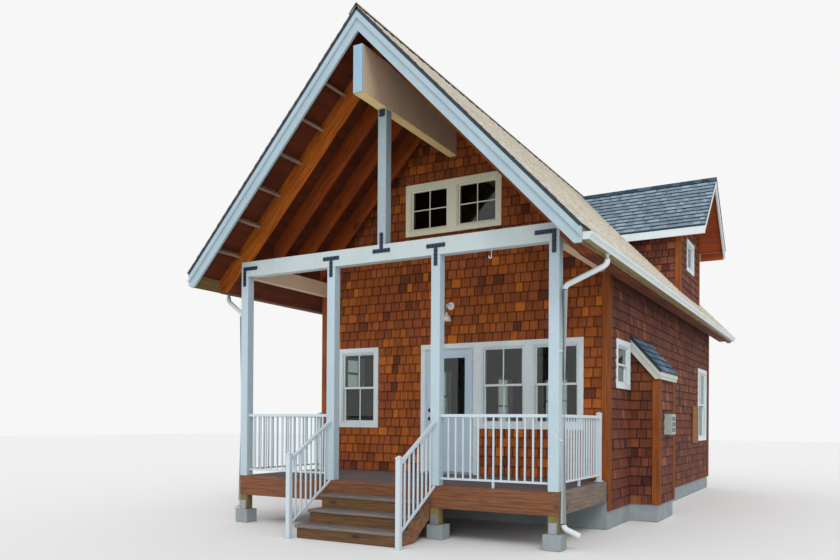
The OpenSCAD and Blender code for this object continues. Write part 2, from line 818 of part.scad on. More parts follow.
module closet_roof() color("#4d6272")
    along_y(closet_y - closet_over, closet_y + closet_len + closet_over)
        polygon([[side_x, closet_roof_z(0) - closet_under],
            [side_x + closet_eave, closet_roof_z(closet_eave) - closet_under],
            [side_x + closet_eave, closet_roof_z(closet_eave)], [side_x, closet_roof_z(0)]]);

// Boards under the edge of the closet roof
module closet_trim() color(trim_white) {
    rake = closet_over - closet_board_t;
    for (y = [closet_y - closet_over, closet_y + closet_len + rake])
        along_y(y, y + closet_board_t)
            polygon([[side_x, closet_roof_z(0) - closet_under - closet_board_h],
                [side_x + closet_eave, closet_roof_z(closet_eave) - closet_under - closet_board_h],
                [side_x + closet_eave, closet_roof_z(closet_eave) - closet_under],
                [side_x, closet_roof_z(0) - closet_under]]);
    along_y(closet_y - closet_over + closet_board_t, closet_y + closet_len + rake) {
        x1 = closet_eave;
        x0 = closet_eave - closet_board_t;
        low = closet_roof_z(x1) - closet_under - closet_board_h;
        polygon([[side_x + x0, low], [side_x + x1, low], [side_x + x1, closet_roof_z(x1) - closet_under],
            [side_x + x0, closet_roof_z(x0) - closet_under]]);
    }
}

module meter_box() color("#9aa0a3")
    translate([side_x + closet_d, closet_y + meter_in, meter_z]) cube([meter_d, meter_w, meter_h]);

// Jambs, head, sill, stops and the outside casing
module door_frame() color(trim_white) {
    stop = 12;
    stop_y = front_y + door_t + door_gap;
    reveal = head_over - door_gap - 1;
    difference() {
        block([opening_x0, front_y, floor_z], [opening_x1, inner_y0, opening_top]);
        block([opening_x0 + jamb_t, front_y - eps, door_z - door_gap],
            [opening_x1 - jamb_t, inner_y0 + eps, opening_top - jamb_t]);
    }
    difference() {
        block([opening_x0 + jamb_t, stop_y, door_z - door_gap],
            [opening_x1 - jamb_t, stop_y + stop, door_top + door_gap]);
        block([door_x0 + stop, stop_y - eps, door_z - door_gap - eps],
            [door_hinge_x - stop, stop_y + stop + eps, door_top - stop]);
    }
    difference() {
        block([opening_x0 - casing_w + reveal, front_y - casing_t, deck_h],
            [pair_x - front_win_w / 2 - casing_w, front_y, head_z + casing_w]);
        block([opening_x0 + reveal, front_y - casing_t - eps, deck_h - eps],
            [opening_x1 - reveal, front_y + eps, opening_top - jamb_t + reveal]);
    }
}

// Fixed half of the three hinges, with their pins
module door_hinges() color("#c9c9c4")
    for (z = hinge_zs) {
        translate([hinge_x, hinge_y, z - hinge_len / 2]) cylinder(h = hinge_len, r = pin_r);
        for (end = [-hinge_len / 2, hinge_len / 6 + 1])
            translate([hinge_x, hinge_y, z + end]) {
                cylinder(h = hinge_len / 3 - 1, r = knuckle_r);
                translate([1, 0, 0]) cube([14, front_y - hinge_y, hinge_len / 3 - 1]);
            }
    }

module door_leaf() color("#e6edf0")
    difference() {
        block([door_x0, front_y, door_z], [door_hinge_x, front_y + door_t, door_top]);
        block([door_x0 + stile_w, front_y - eps, door_top - stile_w - door_glass_h],
            [door_hinge_x - stile_w, front_y + door_t + eps, door_top - stile_w]);
    }

module door_glass() color("#8fa6a8", 0.5)
    block([door_x0 + stile_w, front_y + door_t / 2 - glass_t / 2, door_top - stile_w - door_glass_h],
        [door_hinge_x - stile_w, front_y + door_t / 2 + glass_t / 2, door_top - stile_w]);

// What turns with the door: hinge knuckles, lever handle and lock
module door_hardware() color("#2c2e30") {
    running = 0.08;
    knuckle_h = hinge_len / 3 - 2;
    for (z = hinge_zs)
        difference() {
            translate([hinge_x, hinge_y, z - knuckle_h / 2]) {
                cylinder(h = knuckle_h, r = knuckle_r);
                translate([-15, 0, 0]) cube([14, front_y - hinge_y, knuckle_h]);
            }
            translate([hinge_x, hinge_y, z - knuckle_h]) cylinder(h = 2 * knuckle_h, r = pin_r + running);
        }
    lock_x = door_x0 + 60;
    lever_z = door_z + lever_up;
    translate([lock_x, front_y, lever_z + lock_up]) rotate([90, 0, 0]) cylinder(h = 18, d = 56);
    translate([lock_x, front_y, lever_z]) rotate([90, 0, 0]) {
        cylinder(h = 12, d = 56);
        cylinder(h = 58, d = 20);
    }
    translate([lock_x - 9, front_y - 58, lever_z - 9]) cube([118, 16, 18]);
}

// Outside casing, frame and sashes of one window, as for the front wall
module window_frame(w) {
    width = w[WIDTH];
    height = w[HEIGHT];
    frame_w = 18;
    translate([0, 0, -casing_w]) ring(width + 2 * casing_w, height + 2 * casing_w, casing_w, -casing_t, 0);
    ring(width, height, frame_w, -15, wall_t - 10);
    if (w[KIND] == "hung") {
        half = height / 2 + sash_w / 2;
        translate([0, 0, height - half]) ring(width, half, sash_w, 15, 45);
        ring(width, half, sash_w, 45, 75);
    } else {
        ring(width, height, sash_w + 8, 20, 55);
    }
}

// Glass that fills the sashes of one window
module window_pane(w) {
    width = w[WIDTH] - 2 * sash_w;
    height = w[HEIGHT];
    if (w[KIND] == "hung") {
        pane = height / 2 - 1.5 * sash_w;
        translate([-width / 2, 30 - glass_t / 2, height - sash_w - pane]) cube([width, glass_t, pane]);
        translate([-width / 2, 60 - glass_t / 2, sash_w]) cube([width, glass_t, pane]);
    } else {
        translate([-width / 2 + 8, 38 - glass_t / 2, sash_w + 8])
            cube([width - 16, glass_t, height - 2 * sash_w - 16]);
    }
}

module window_frames() color(trim_white) for (w = windows) on_wall(w) window_frame(w);

module gable_window_frames() color(cream) for (w = gable_windows) on_wall(w) window_frame(w);

module window_glass() color("#7f9598", 0.5)
    for (w = concat(windows, gable_windows)) on_wall(w) window_pane(w);

// Stringers and risers
module stair_frame() color(deck_brown) {
    for (side = [-1, 1])
        along_x(side * stringer_x - (side > 0 ? rim_t : 0), side * stringer_x + (side > 0 ? 0 : rim_t))
            polygon(concat(
                [[porch_y - stringer_foot, 0], [porch_y, stringer_foot * step_h / tread_run],
                    [porch_y, deck_h - step_h - tread_t]],
                [for (i = [1:tread_n]) each [
                    [porch_y - i * tread_run, deck_h - i * step_h - tread_t],
                    [porch_y - i * tread_run, max(0, deck_h - (i + 1) * step_h - tread_t)]]]
            ));
    for (i = [1:tread_n])
        block([-stringer_x + rim_t, porch_y - i * tread_run, max(0, deck_h - (i + 1) * step_h - tread_t)],
            [stringer_x - rim_t, porch_y - i * tread_run + 20, deck_h - i * step_h - tread_t]);
}

module stair_treads() color("#8a6f5a")
    for (i = [1:tread_n])
        translate([-tread_w / 2, porch_y - i * tread_run - nosing, deck_h - i * step_h - tread_t])
            cube([tread_w, tread_run + nosing, tread_t]);

// A straight railing panel along X, with evenly spaced balusters and one foot
module rail_panel(len) {
    n = ceil(len / baluster_pitch);
    rail_z = rail_h - rail_t;
    translate([0, -rail_w / 2, rail_z]) cube([len, rail_w, rail_t]);
    translate([0, -low_rail_w / 2, low_gap]) cube([len, low_rail_w, low_rail_t]);
    for (i = [1:n - 1])
        translate([i * len / n - baluster_w / 2, -baluster_w / 2, low_gap])
            cube([baluster_w, baluster_w, rail_z - low_gap]);
    translate([(len - low_rail_w) / 2, -low_rail_w / 2, 0]) cube([low_rail_w, low_rail_w, low_gap]);
}

// A post that stands on z = 0, with a flat cap
module capped_post(h) {
    cap = 5;
    translate([-newel_w / 2, -newel_w / 2, 0]) cube([newel_w, newel_w, h]);
    translate([-newel_w / 2 - cap, -newel_w / 2 - cap, h])
        cube([newel_w + 2 * cap, newel_w + 2 * cap, 2 * cap]);
}

module deck_railings() color(trim_white) both_sides() {
    x0 = inner_post_x + post_w / 2;
    x1 = outer_post_x - post_w / 2;
    translate([x0, porch_y + post_w / 2, deck_h]) rail_panel(x1 - x0);
    translate([outer_post_x, porch_y + post_w, deck_h]) rotate(90)
        rail_panel(rail_post_y - porch_y - post_w);
    translate([outer_post_x, rail_post_y + newel_w / 2, deck_h]) capped_post(rail_h + 20);
}

// Sloping railing from a newel post up to an inner porch post
module stair_railings() color(trim_white) both_sides()
    translate([inner_post_x, 0, 0]) {
        y0 = newel_y + newel_w / 2;
        n = ceil((porch_y - y0) / baluster_pitch);
        low = newel_h - 40;
        high = deck_h + rail_h - 84;
        clear_h = rail_h - 84;
        along_x(-rail_w / 2, rail_w / 2)
            polygon([[y0, low - rail_t], [porch_y, high - rail_t], [porch_y, high], [y0, low]]);
        along_x(-low_rail_w / 2, low_rail_w / 2)
            polygon([[y0, low - clear_h - low_rail_t], [porch_y, high - clear_h - low_rail_t],
                [porch_y, high - clear_h], [y0, low - clear_h]]);
        for (i = [1:n - 1])
            translate([0, y0 + (porch_y - y0) * i / n, low + (high - low) * i / n - clear_h - low_rail_t / 2])
                translate([-baluster_w / 2, -baluster_w / 2, 0]) cube([baluster_w, baluster_w, clear_h]);
        translate([0, newel_y, 0]) capped_post(newel_h);
    }

// Wall lamp beside the head of the door
module porch_lamp() color(trim_white) translate([-lamp_left, front_y, deck_h + lamp_h]) {
    arm = 160;
    drop = 120;
    shade_h = 130;
    rotate([90, 0, 0]) cylinder(h = 20, d = 120);
    rotate([90, 0, 0]) cylinder(h = arm, d = 22);
    translate([0, -arm, 0]) {
        sphere(d = 30);
        translate([0, 0, -drop]) cylinder(h = drop, d = 18);
        translate([0, 0, -drop - shade_h]) cylinder(h = shade_h, d1 = lamp_d, d2 = 50);
    }
}

foundation();
floor();
loft_floor();
deck_frame();
deck();
porch_posts();
porch_beams();
king_post();
ridge_beam();
steel_straps();
pier_brackets();
rafters_left();
rafters_right();
ceiling();
roof_left();
roof_right();
barge_boards();
eave_boards();
gutters();
downspouts();
front_wall_left();
front_wall_right();
front_wall_over_door();
front_gable();
back_wall();
left_wall();
right_wall();
corner_boards();
dormer_walls();
dormer_roof();
dormer_trim();
closet_walls();
closet_roof();
closet_trim();
meter_box();
door_frame();
door_hinges();
door_leaf();
door_glass();
door_hardware();
window_frames();
gable_window_frames();
window_glass();
stair_frame();
stair_treads();
deck_railings();
stair_railings();
porch_lamp();
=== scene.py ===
import math
import random

import bmesh
import bpy
from mathutils import Matrix, Vector


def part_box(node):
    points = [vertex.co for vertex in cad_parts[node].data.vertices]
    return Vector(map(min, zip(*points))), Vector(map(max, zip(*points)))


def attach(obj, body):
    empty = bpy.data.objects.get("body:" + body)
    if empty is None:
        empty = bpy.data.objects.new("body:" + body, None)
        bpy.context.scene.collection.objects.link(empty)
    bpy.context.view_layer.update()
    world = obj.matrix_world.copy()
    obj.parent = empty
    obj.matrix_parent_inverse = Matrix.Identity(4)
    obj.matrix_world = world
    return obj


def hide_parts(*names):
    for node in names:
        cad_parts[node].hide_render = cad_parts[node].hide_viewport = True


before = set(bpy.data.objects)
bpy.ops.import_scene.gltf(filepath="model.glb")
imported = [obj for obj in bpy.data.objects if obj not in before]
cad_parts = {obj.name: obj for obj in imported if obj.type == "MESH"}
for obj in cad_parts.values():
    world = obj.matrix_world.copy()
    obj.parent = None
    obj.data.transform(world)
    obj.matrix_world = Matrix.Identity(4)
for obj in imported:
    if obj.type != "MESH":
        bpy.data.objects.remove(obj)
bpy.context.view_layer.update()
scene = bpy.context.scene
print("frame loaded,", len(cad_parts), "nodes")

# Faces and heights of the cabin in metres, as the frame has them
cabin = {
    "frontFace": -0.100, "backFace": 8.320, "sideFace": 2.480,
    "deckTop": 0.690, "shingleFoot": 0.265, "cornerBoard": 0.088,
    "postFace": -2.160, "postSide": 0.130, "outerPost": 2.410, "innerPost": 0.825,
    "deckHalf": 2.475, "beamFoot": 3.642, "beamTop": 3.865,
    "roofPeak": 6.7544, "boardPeak": 6.7150, "rafterPeak": 6.3507, "roofFall": 1.06,
    "roofHalf": 2.925, "bargeFront": -2.780, "bargeBack": 8.880,
    "dormerMiddle": 5.960, "dormerHalf": 1.030, "dormerPeak": 6.5904, "dormerFall": 0.93,
    "dormerEave": 1.340, "dormerThick": 0.037, "dormerFront": 3.000, "dormerFoot": 4.123,
    "closetFace": 2.905, "closetNear": 1.130, "closetFar": 2.210, "closetPeak": 2.867,
    "closetFall": 1.15, "closetThick": 0.045, "closetEave": 2.965, "closetOver": 0.090,
}
frontFace, sideFace, cornerBoard = cabin["frontFace"], cabin["sideFace"], cabin["cornerBoard"]
deckTop, deckHalf, beamFoot, beamTop = cabin["deckTop"], cabin["deckHalf"], cabin["beamFoot"], cabin["beamTop"]
postFace, postSide = cabin["postFace"], cabin["postSide"]
innerPost, outerPost = cabin["innerPost"], cabin["outerPost"]
postBack, postPlaces = postFace + postSide, (-outerPost, -innerPost, innerPost, outerPost)
roofPeak, roofFall, roofHalf = cabin["roofPeak"], cabin["roofFall"], cabin["roofHalf"]
dormerMiddle, dormerHalf = cabin["dormerMiddle"], cabin["dormerHalf"]
dormerPeak, dormerFall, dormerFront = cabin["dormerPeak"], cabin["dormerFall"], cabin["dormerFront"]
closetNear, closetFar, closetPeak = cabin["closetNear"], cabin["closetFar"], cabin["closetPeak"]
closetEnds = (closetNear - cabin["closetOver"], closetFar + cabin["closetOver"])
roofSlope, dormerSlope, closetSlope = math.atan(roofFall), math.atan(dormerFall), math.atan(cabin["closetFall"])
grainShift = (7.3, 3.1)  # how far a board's tone moves its grain, along and across


# meshes: every new piece starts from one of these
def newMesh():
    bm = bmesh.new()
    bm.loops.layers.uv.new("grain")
    bm.loops.layers.uv.new("lay")
    bm.faces.layers.float.new("tone")
    return bm


def addBoard(bm, low, high, place=None, tone=0.5):
    # A block whose grain map runs along its longest side, turned into place afterwards
    low, high = Vector(map(min, low, high)), Vector(map(max, low, high))
    size, middle = high - low, (low + high) / 2
    block = Matrix.Translation(middle) @ Matrix.Diagonal((*size, 1))
    made = bmesh.ops.create_cube(bm, size=1, matrix=block)["verts"]
    grain, toneLayer = bm.loops.layers.uv["grain"], bm.faces.layers.float["tone"]
    order = sorted(range(3), key=lambda i: -size[i])
    for face in {f for v in made for f in v.link_faces}:
        face[toneLayer] = tone
        offset = face.calc_center_median() - middle
        flat = max(range(3), key=lambda i: abs(offset[i]) / size[i])
        first, second = [i for i in order if i != flat]
        for loop in face.loops:
            spot = loop.vert.co
            loop[grain].uv = (spot[first] + grainShift[0] * tone, spot[second] + grainShift[1] * tone)
    if place is not None:
        for v in made:
            v.co = place @ v.co
    return made


def markLay(bm, made, across, up):
    # Notes on each shingle how far across and up it a point is, from 0 to 1: the finish darkens its edges
    lay = bm.loops.layers.uv["lay"]
    for face in {f for v in made for f in v.link_faces}:
        for loop in face.loops:
            loop[lay].uv = (across(loop.vert.co), up(loop.vert.co))


def addRod(bm, start, end, radius, sides=16, endRadius=None):
    # A round bar or cone between two points
    start, end = Vector(start), Vector(end)
    turn = (end - start).to_track_quat("Z", "Y").to_matrix().to_4x4()
    bmesh.ops.create_cone(bm, cap_ends=True, segments=sides, radius1=radius,
                          radius2=radius if endRadius is None else endRadius, depth=(end - start).length,
                          matrix=Matrix.Translation((start + end) / 2) @ turn)


def bevelEdges(bm, edges, size, segments=1):
    bmesh.ops.bevel(bm, geom=edges, offset=size, offset_type="OFFSET", segments=segments, profile=0.5,
                    affect="EDGES", material=-1, clamp_overlap=True)


def roundEdges(bm, size, segments=1, sharpest=20):
    sharp = [e for e in bm.edges if len(e.link_faces) == 2 and e.calc_face_angle(0) > math.radians(sharpest)]
    bevelEdges(bm, sharp, size, segments)


def trimAway(bm, point, away):
    # Cuts off what lies on the away side of a plane and closes the cut
    cut = bmesh.ops.bisect_plane(bm, geom=bm.verts[:] + bm.edges[:] + bm.faces[:], dist=1e-6,
                                 plane_co=point, plane_no=Vector(away).normalized(), clear_outer=True)
    rim = [e for e in cut["geom_cut"] if isinstance(e, bmesh.types.BMEdge)]
    bmesh.ops.holes_fill(bm, edges=rim, sides=0)


def joinInto(bm, other):
    mesh = bpy.data.meshes.new("join")
    other.to_mesh(mesh)
    other.free()
    bm.from_mesh(mesh)
    bpy.data.meshes.remove(mesh)


def addPiece(name, bm, finish, replaced=None, body="house", edge=0, segments=1, smooth=False):
    # edge rounds the piece's edges, and replaced is the frame's node that the piece stands for
    if edge:
        roundEdges(bm, edge, segments)
    bmesh.ops.recalc_face_normals(bm, faces=bm.faces)
    mesh = bpy.data.meshes.new(name)
    bm.to_mesh(mesh)
    bm.free()
    if "custom_normal" in mesh.attributes:
        mesh.attributes.remove(mesh.attributes["custom_normal"])
    mesh.shade_smooth() if smooth else mesh.shade_flat()
    if smooth:
        mesh.set_sharp_from_angle(angle=math.radians(35))
    mesh.materials.append(finishes[finish])
    piece = bpy.data.objects.new(name, mesh)
    scene.collection.objects.link(piece)
    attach(piece, body)
    if replaced:
        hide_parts(replaced)


def boardPiece(name, boards, finish, replaced=None, edge=0.003, segments=1):
    # A piece of plain boards: each has two corners, and a tone where it isn't the middle one
    bm = newMesh()
    for low, high, *tone in boards:
        addBoard(bm, low, high, None, *tone)
    addPiece(name, bm, finish, replaced, edge=edge, segments=segments)


def nodeCopy(node):
    # A merged copy of a frame node's mesh, with its flat faces whole again
    bm = newMesh()
    bm.from_mesh(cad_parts[node].data)
    bmesh.ops.remove_doubles(bm, verts=bm.verts, dist=0.00005)
    bmesh.ops.dissolve_limit(bm, angle_limit=math.radians(1), verts=bm.verts, edges=bm.edges)
    toneLayer = bm.faces.layers.float["tone"]
    for face in bm.faces:
        face[toneLayer] = 0.5
    return bm


def toneFaces(bm, axis, tone, other):
    # Gives the faces that look along an axis one tone and the rest another; where the finish darkens low tones, this
    # paints shade on the faces turned one way
    toneLayer = bm.faces.layers.float["tone"]
    bm.normal_update()
    for face in bm.faces:
        face[toneLayer] = tone if abs(face.normal[axis]) > 0.7 else other


def softNode(name, node, finish, edge, tones=None):
    bm = nodeCopy(node)
    if tones:
        toneFaces(bm, *tones)
    addPiece(name, bm, finish, node, edge=edge)


# finishes
finishes = {}


def paint(colour):
    # A screen colour from 0 to 255 as the light values that the shader wants
    return (*(((c / 255 + 0.055) / 1.055) ** 2.4 if c > 10 else c / 255 / 12.92 for c in colour), 1)


def startFinish(name, roughness, metallic=0.0, specular=0.5):
    finish = finishes[name] = bpy.data.materials.new(name)
    finish.use_nodes = True
    shader = finish.node_tree.nodes["Principled BSDF"]
    shader.inputs["Roughness"].default_value = roughness
    shader.inputs["Metallic"].default_value = metallic
    shader.inputs["Specular IOR Level"].default_value = specular
    return finish.node_tree, shader


def endFinish(tree, shader, colour, height, strength, distance):
    bump = tree.nodes.new("ShaderNodeBump")
    bump.inputs["Strength"].default_value = strength
    bump.inputs["Distance"].default_value = distance
    tree.links.new(height, bump.inputs["Height"])
    tree.links.new(bump.outputs["Normal"], shader.inputs["Normal"])
    tree.links.new(colour, shader.inputs["Base Color"])


def feed(tree, value, socket):
    # Joins a node's output, or sets a number or a colour from 0 to 255
    if isinstance(value, bpy.types.NodeSocket):
        tree.links.new(value, socket)
    else:
        socket.default_value = paint(value) if isinstance(value, tuple) else value


def mapped(tree, vector, key, value):
    node = tree.nodes.new("ShaderNodeMapping")
    node.inputs[key].default_value = value
    tree.links.new(vector, node.inputs["Vector"])
    return node.outputs["Vector"]


def patternSpace(tree, source, scale=None, turn=None, shift=None):
    # Where a pattern is read: on the object, or on one of the boards' own maps
    if source == "object":
        vector = tree.nodes.new("ShaderNodeTexCoord").outputs["Object"]
    else:
        board = tree.nodes.new("ShaderNodeUVMap")
        board.uv_map = source
        vector = board.outputs["UV"]
    if turn:
        vector = mapped(tree, vector, "Rotation", turn)
    if shift:
        add = tree.nodes.new("ShaderNodeVectorMath")
        add.operation = "ADD"
        tree.links.new(vector, add.inputs[0])
        tree.links.new(shift, add.inputs[1])
        vector = add.outputs["Vector"]
    return mapped(tree, vector, "Scale", scale) if scale else vector


def noise(tree, vector, detail, roughness, distortion=0.0):
    node = tree.nodes.new("ShaderNodeTexNoise")
    tree.links.new(vector, node.inputs["Vector"])
    for key, value in (("Scale", 1), ("Detail", detail), ("Roughness", roughness), ("Distortion", distortion)):
        node.inputs[key].default_value = value
    return node.outputs["Fac"]


def cells(tree, vector):
    node = tree.nodes.new("ShaderNodeTexVoronoi")
    tree.links.new(vector, node.inputs["Vector"])
    node.inputs["Scale"].default_value = 1
    return node.outputs["Distance"]


def ramp(tree, factor, *stops):
    # stops are pairs of a place from 0 to 1 and a colour or a grey value
    node = tree.nodes.new("ShaderNodeValToRGB")
    tree.links.new(factor, node.inputs["Fac"])
    elements = node.color_ramp.elements
    while len(elements) < len(stops):
        elements.new(0.5)
    for element, (place, colour) in zip(elements, stops):
        element.position = place
        element.color = paint(colour) if isinstance(colour, tuple) else (colour, colour, colour, 1)
    return node.outputs["Color"]


def mix(tree, factor, first, second, mode="MIX"):
    node = tree.nodes.new("ShaderNodeMix")
    node.data_type = "RGBA"
    node.blend_type = mode
    for value, socket in ((factor, 0), (first, 6), (second, 7)):
        feed(tree, value, node.inputs[socket])
    return node.outputs[2]


def shade(tree, amount, colour, factor, *stops):
    # Darkens a colour by a ramp over a pattern
    return mix(tree, amount, colour, ramp(tree, factor, *stops), "MULTIPLY")


def calc(tree, operation, first, second=0.0):
    node = tree.nodes.new("ShaderNodeMath")
    node.operation = operation
    feed(tree, first, node.inputs[0])
    feed(tree, second, node.inputs[1])
    return node.outputs[0]


def toneOf(tree):
    node = tree.nodes.new("ShaderNodeAttribute")
    node.attribute_name = "tone"
    return node.outputs["Fac"]


def splitSpot(tree, spot):
    parts = tree.nodes.new("ShaderNodeSeparateXYZ")
    tree.links.new(spot, parts.inputs[0])
    return parts.outputs


def layLines(tree, colour, joint, band):
    # Darkens the joints beside a shingle and the strip in the shade of the next course
    across, up, _ = splitSpot(tree, patternSpace(tree, "lay"))
    fromMiddle = calc(tree, "MULTIPLY", calc(tree, "ABSOLUTE", calc(tree, "SUBTRACT", across, 0.5)), 2.0)
    return shade(tree, 1.0, shade(tree, 1.0, colour, fromMiddle, *joint), up, *band)


def shingleFinish(name, *colours):
    # Stained cedar: one tone per shingle, slow changes of hue, upright grain, and weather over the whole wall
    tree, shader = startFinish(name, 0.86, specular=0.25)
    tone = toneOf(tree)
    base = ramp(tree, tone, *zip((0.0, 0.22, 0.6, 0.86, 1.0), colours))
    areas = noise(tree, patternSpace(tree, "object", (2.1, 2.1, 1.7)), 3, 0.6)
    base = shade(tree, 0.8, base, areas, (0.38, (238, 222, 255)), (0.6, (255, 246, 202)))
    shift = calc(tree, "MULTIPLY", tone, 41.0)
    grain = noise(tree, patternSpace(tree, "object", (95, 95, 5), shift=shift), 5, 0.65)
    streak = noise(tree, patternSpace(tree, "object", (22, 22, 1.6), shift=shift), 3, 0.5)
    weather = noise(tree, patternSpace(tree, "object", (1.3, 1.3, 1.0)), 3, 0.5)
    colour = shade(tree, 1.0, base, grain, (0.25, 0.62), (0.5, 0.92), (0.8, 1.0))
    colour = shade(tree, 0.55, colour, streak, (0.3, 0.55), (0.6, 1.0))
    colour = shade(tree, 0.4, colour, weather, (0.3, 0.6), (0.65, 1.0))
    # The band paints shade on the top of each shingle's exposed part, under the next course, and darkens its butt
    # edge a little
    colour = layLines(tree, colour, ((0.86, 1.0), (0.97, 0.4)),
                      ((0.0, 0.72), (0.05, 1.0), (0.80, 0.95), (0.96, 0.42)))
    endFinish(tree, shader, colour, grain, 0.5, 0.004)


def roofFinish(name, colours, courseShadeBand):
    # Mineral granules: one tone per tab, fine speckle, and a dark line at each course's edge that is painted shade
    # of the course above, partly the dark granule band such shingles have
    tree, shader = startFinish(name, 0.95, specular=0.15)
    base = ramp(tree, toneOf(tree), *zip((0.0, 0.5, 1.0), colours))
    speckle = noise(tree, patternSpace(tree, "object", (260, 260, 260)), 2, 0.7)
    patches = noise(tree, patternSpace(tree, "object", (2.4, 2.4, 2.4)), 3, 0.5)
    colour = shade(tree, 0.5, base, speckle, (0.3, 0.62), (0.5, 0.97), (0.7, 1.0))
    colour = shade(tree, 0.25, colour, patches, (0.3, 0.7), (0.65, 1.0))
    colour = layLines(tree, colour, ((0.93, 1.0), (1.0, 0.6)), courseShadeBand)
    endFinish(tree, shader, colour, speckle, 0.5, 0.003)


def timberFinish(name, light, dark, scale=None, turn=None, knots=0.0, lowTone=0.68):
    # Timber with grain along each board, or by object where a scale is given; lowTone darkens a face of tone 0
    source, scale = ("object", scale) if scale else ("grain", (2.2, 42, 42))
    tree, shader = startFinish(name, 0.75, specular=0.3)
    grain = noise(tree, patternSpace(tree, source, scale, turn), 6, 0.62, 0.6)
    colour = ramp(tree, grain, (0.3, dark), (0.62, light))
    colour = shade(tree, 0.8, colour, toneOf(tree), (0, lowTone), (1, 1.0))
    if knots:
        wide = tuple(s * k for s, k in zip(scale, (0.9, 0.13, 0.13)))
        spots = cells(tree, patternSpace(tree, source, wide, turn))
        colour = shade(tree, 0.9, colour, spots, (0.05, 0.25), (knots, 1.0))
    age = noise(tree, patternSpace(tree, source, (1.7, 3.1, 3.1), turn), 3, 0.5)
    colour = shade(tree, 0.3, colour, age, (0.3, 0.55), (0.7, 1.0))
    endFinish(tree, shader, colour, grain, 0.35, 0.002)


def paintedFinish(name, colour, roughness=0.5, dirt=0.16, grainy=True, lowShade=None):
    # Paint or enamel: faint brush or sheet texture, some dust in slow patches, and painted shade up to a height
    # where one is given
    tree, shader = startFinish(name, roughness, specular=0.4)
    patches = noise(tree, patternSpace(tree, "object", (1.9, 1.9, 0.8)), 4, 0.6)
    fine = noise(tree, patternSpace(tree, "object", (38, 38, 14) if grainy else (160, 160, 160)), 4, 0.6)
    mixed = shade(tree, dirt, colour, patches, (0.35, 0.45), (0.65, 1.0))
    mixed = shade(tree, 0.09, mixed, fine, (0.35, 0.3), (0.65, 1.0))
    # Below the given heights the colour turns to the given one: painted shade
    if lowShade:
        lowShadeColour, low, high = lowShade
        height = splitSpot(tree, patternSpace(tree, "object"))[2]
        above = calc(tree, "DIVIDE", calc(tree, "SUBTRACT", height, low), high - low)
        mixed = mix(tree, ramp(tree, above, (0.0, 0.0), (1.0, 1.0)), lowShadeColour, mixed)
    endFinish(tree, shader, mixed, fine, 0.18, 0.001)


def metalFinish(name, colour, roughness, metallic, grain):
    tree, shader = startFinish(name, roughness, metallic)
    spots = cells(tree, patternSpace(tree, "object", (grain, grain, grain)))
    colour = shade(tree, 0.35, colour, spots, (0.1, 0.6), (0.8, 1.0))
    endFinish(tree, shader, colour, spots, 0.12, 0.001)


def stoneFinish(name, colour):
    tree, shader = startFinish(name, 0.9, specular=0.25)
    clouds = noise(tree, patternSpace(tree, "object", (3.2, 3.2, 3.2)), 5, 0.6)
    pits = noise(tree, patternSpace(tree, "object", (70, 70, 70)), 3, 0.7)
    colour = shade(tree, 0.6, colour, clouds, (0.3, 0.62), (0.7, 1.0))
    colour = shade(tree, 0.4, colour, pits, (0.32, 0.5), (0.5, 1.0))
    endFinish(tree, shader, colour, pits, 0.4, 0.004)


def glassFinish(name, colour):
    tree, shader = startFinish(name, 0.02)
    shader.inputs["IOR"].default_value = 1.5
    shader.inputs["Transmission Weight"].default_value = 1.0
    waves = noise(tree, patternSpace(tree, "object", (1.6, 1.6, 1.6)), 2, 0.5)
    endFinish(tree, shader, shade(tree, 0.3, colour, waves, (0.3, 0.75), (0.7, 1.0)), waves, 0.06, 0.004)


shingleFinish("wallShingle", (104, 58, 38), (144, 80, 44), (178, 98, 48), (198, 112, 46), (216, 128, 40))
# The other walls get the front's cedar stain painted darker and duller, as painted shade
shingleFinish("sideShingleShaded", (78, 46, 40), (106, 61, 50), (128, 74, 56), (146, 86, 60), (166, 104, 62))
# One product of shingles: the main roof's is painted as lit by sun, the dormer's and closet's painted bluish and
# darker as shade, with darker painted shade under each course
roofFinish("roofShingle", ((214, 206, 190), (238, 230, 213), (249, 244, 231)), ((0.82, 1.0), (0.95, 0.5)))
roofFinish("roofShingleSkyShade", ((104, 126, 143), (126, 147, 163), (150, 170, 184)),
           ((0.0, 0.6), (0.06, 1.0), (0.68, 1.0), (0.82, 0.05)))
roofFinish("roofShingleDeepShade", ((54, 78, 102), (80, 108, 132), (122, 150, 168)),
           ((0.0, 0.7), (0.06, 1.0), (0.70, 1.0), (0.86, 0.2)))
timberFinish("wallBoards", (92, 58, 40), (58, 34, 24), (30, 30, 2))
timberFinish("innerBoards", (176, 140, 100), (136, 100, 66), (26, 2, 26))
timberFinish("plywood", (118, 54, 24), (84, 36, 16), (8, 1.2, 8))
timberFinish("dormerLining", (196, 92, 46), (150, 66, 34), (1.2, 8, 8))
# One timber in three copies: the front left rafters painted as lit, the right and inner left ones painted darker as
# shade
timberFinish("rafterRight", (164, 88, 46), (112, 56, 30), (2.2, 30, 30), (0, -roofSlope, 0), 0.2)
timberFinish("rafterLeft", (208, 112, 22), (142, 66, 14), (2.2, 30, 30), (0, roofSlope, 0), 0.2, lowTone=0.3)
timberFinish("rafterInnerShaded", (172, 80, 20), (116, 50, 14), (2.2, 30, 30), (0, roofSlope, 0), 0.2)
timberFinish("lookoutTimber", (174, 142, 124), (126, 98, 86), (24, 2, 24))
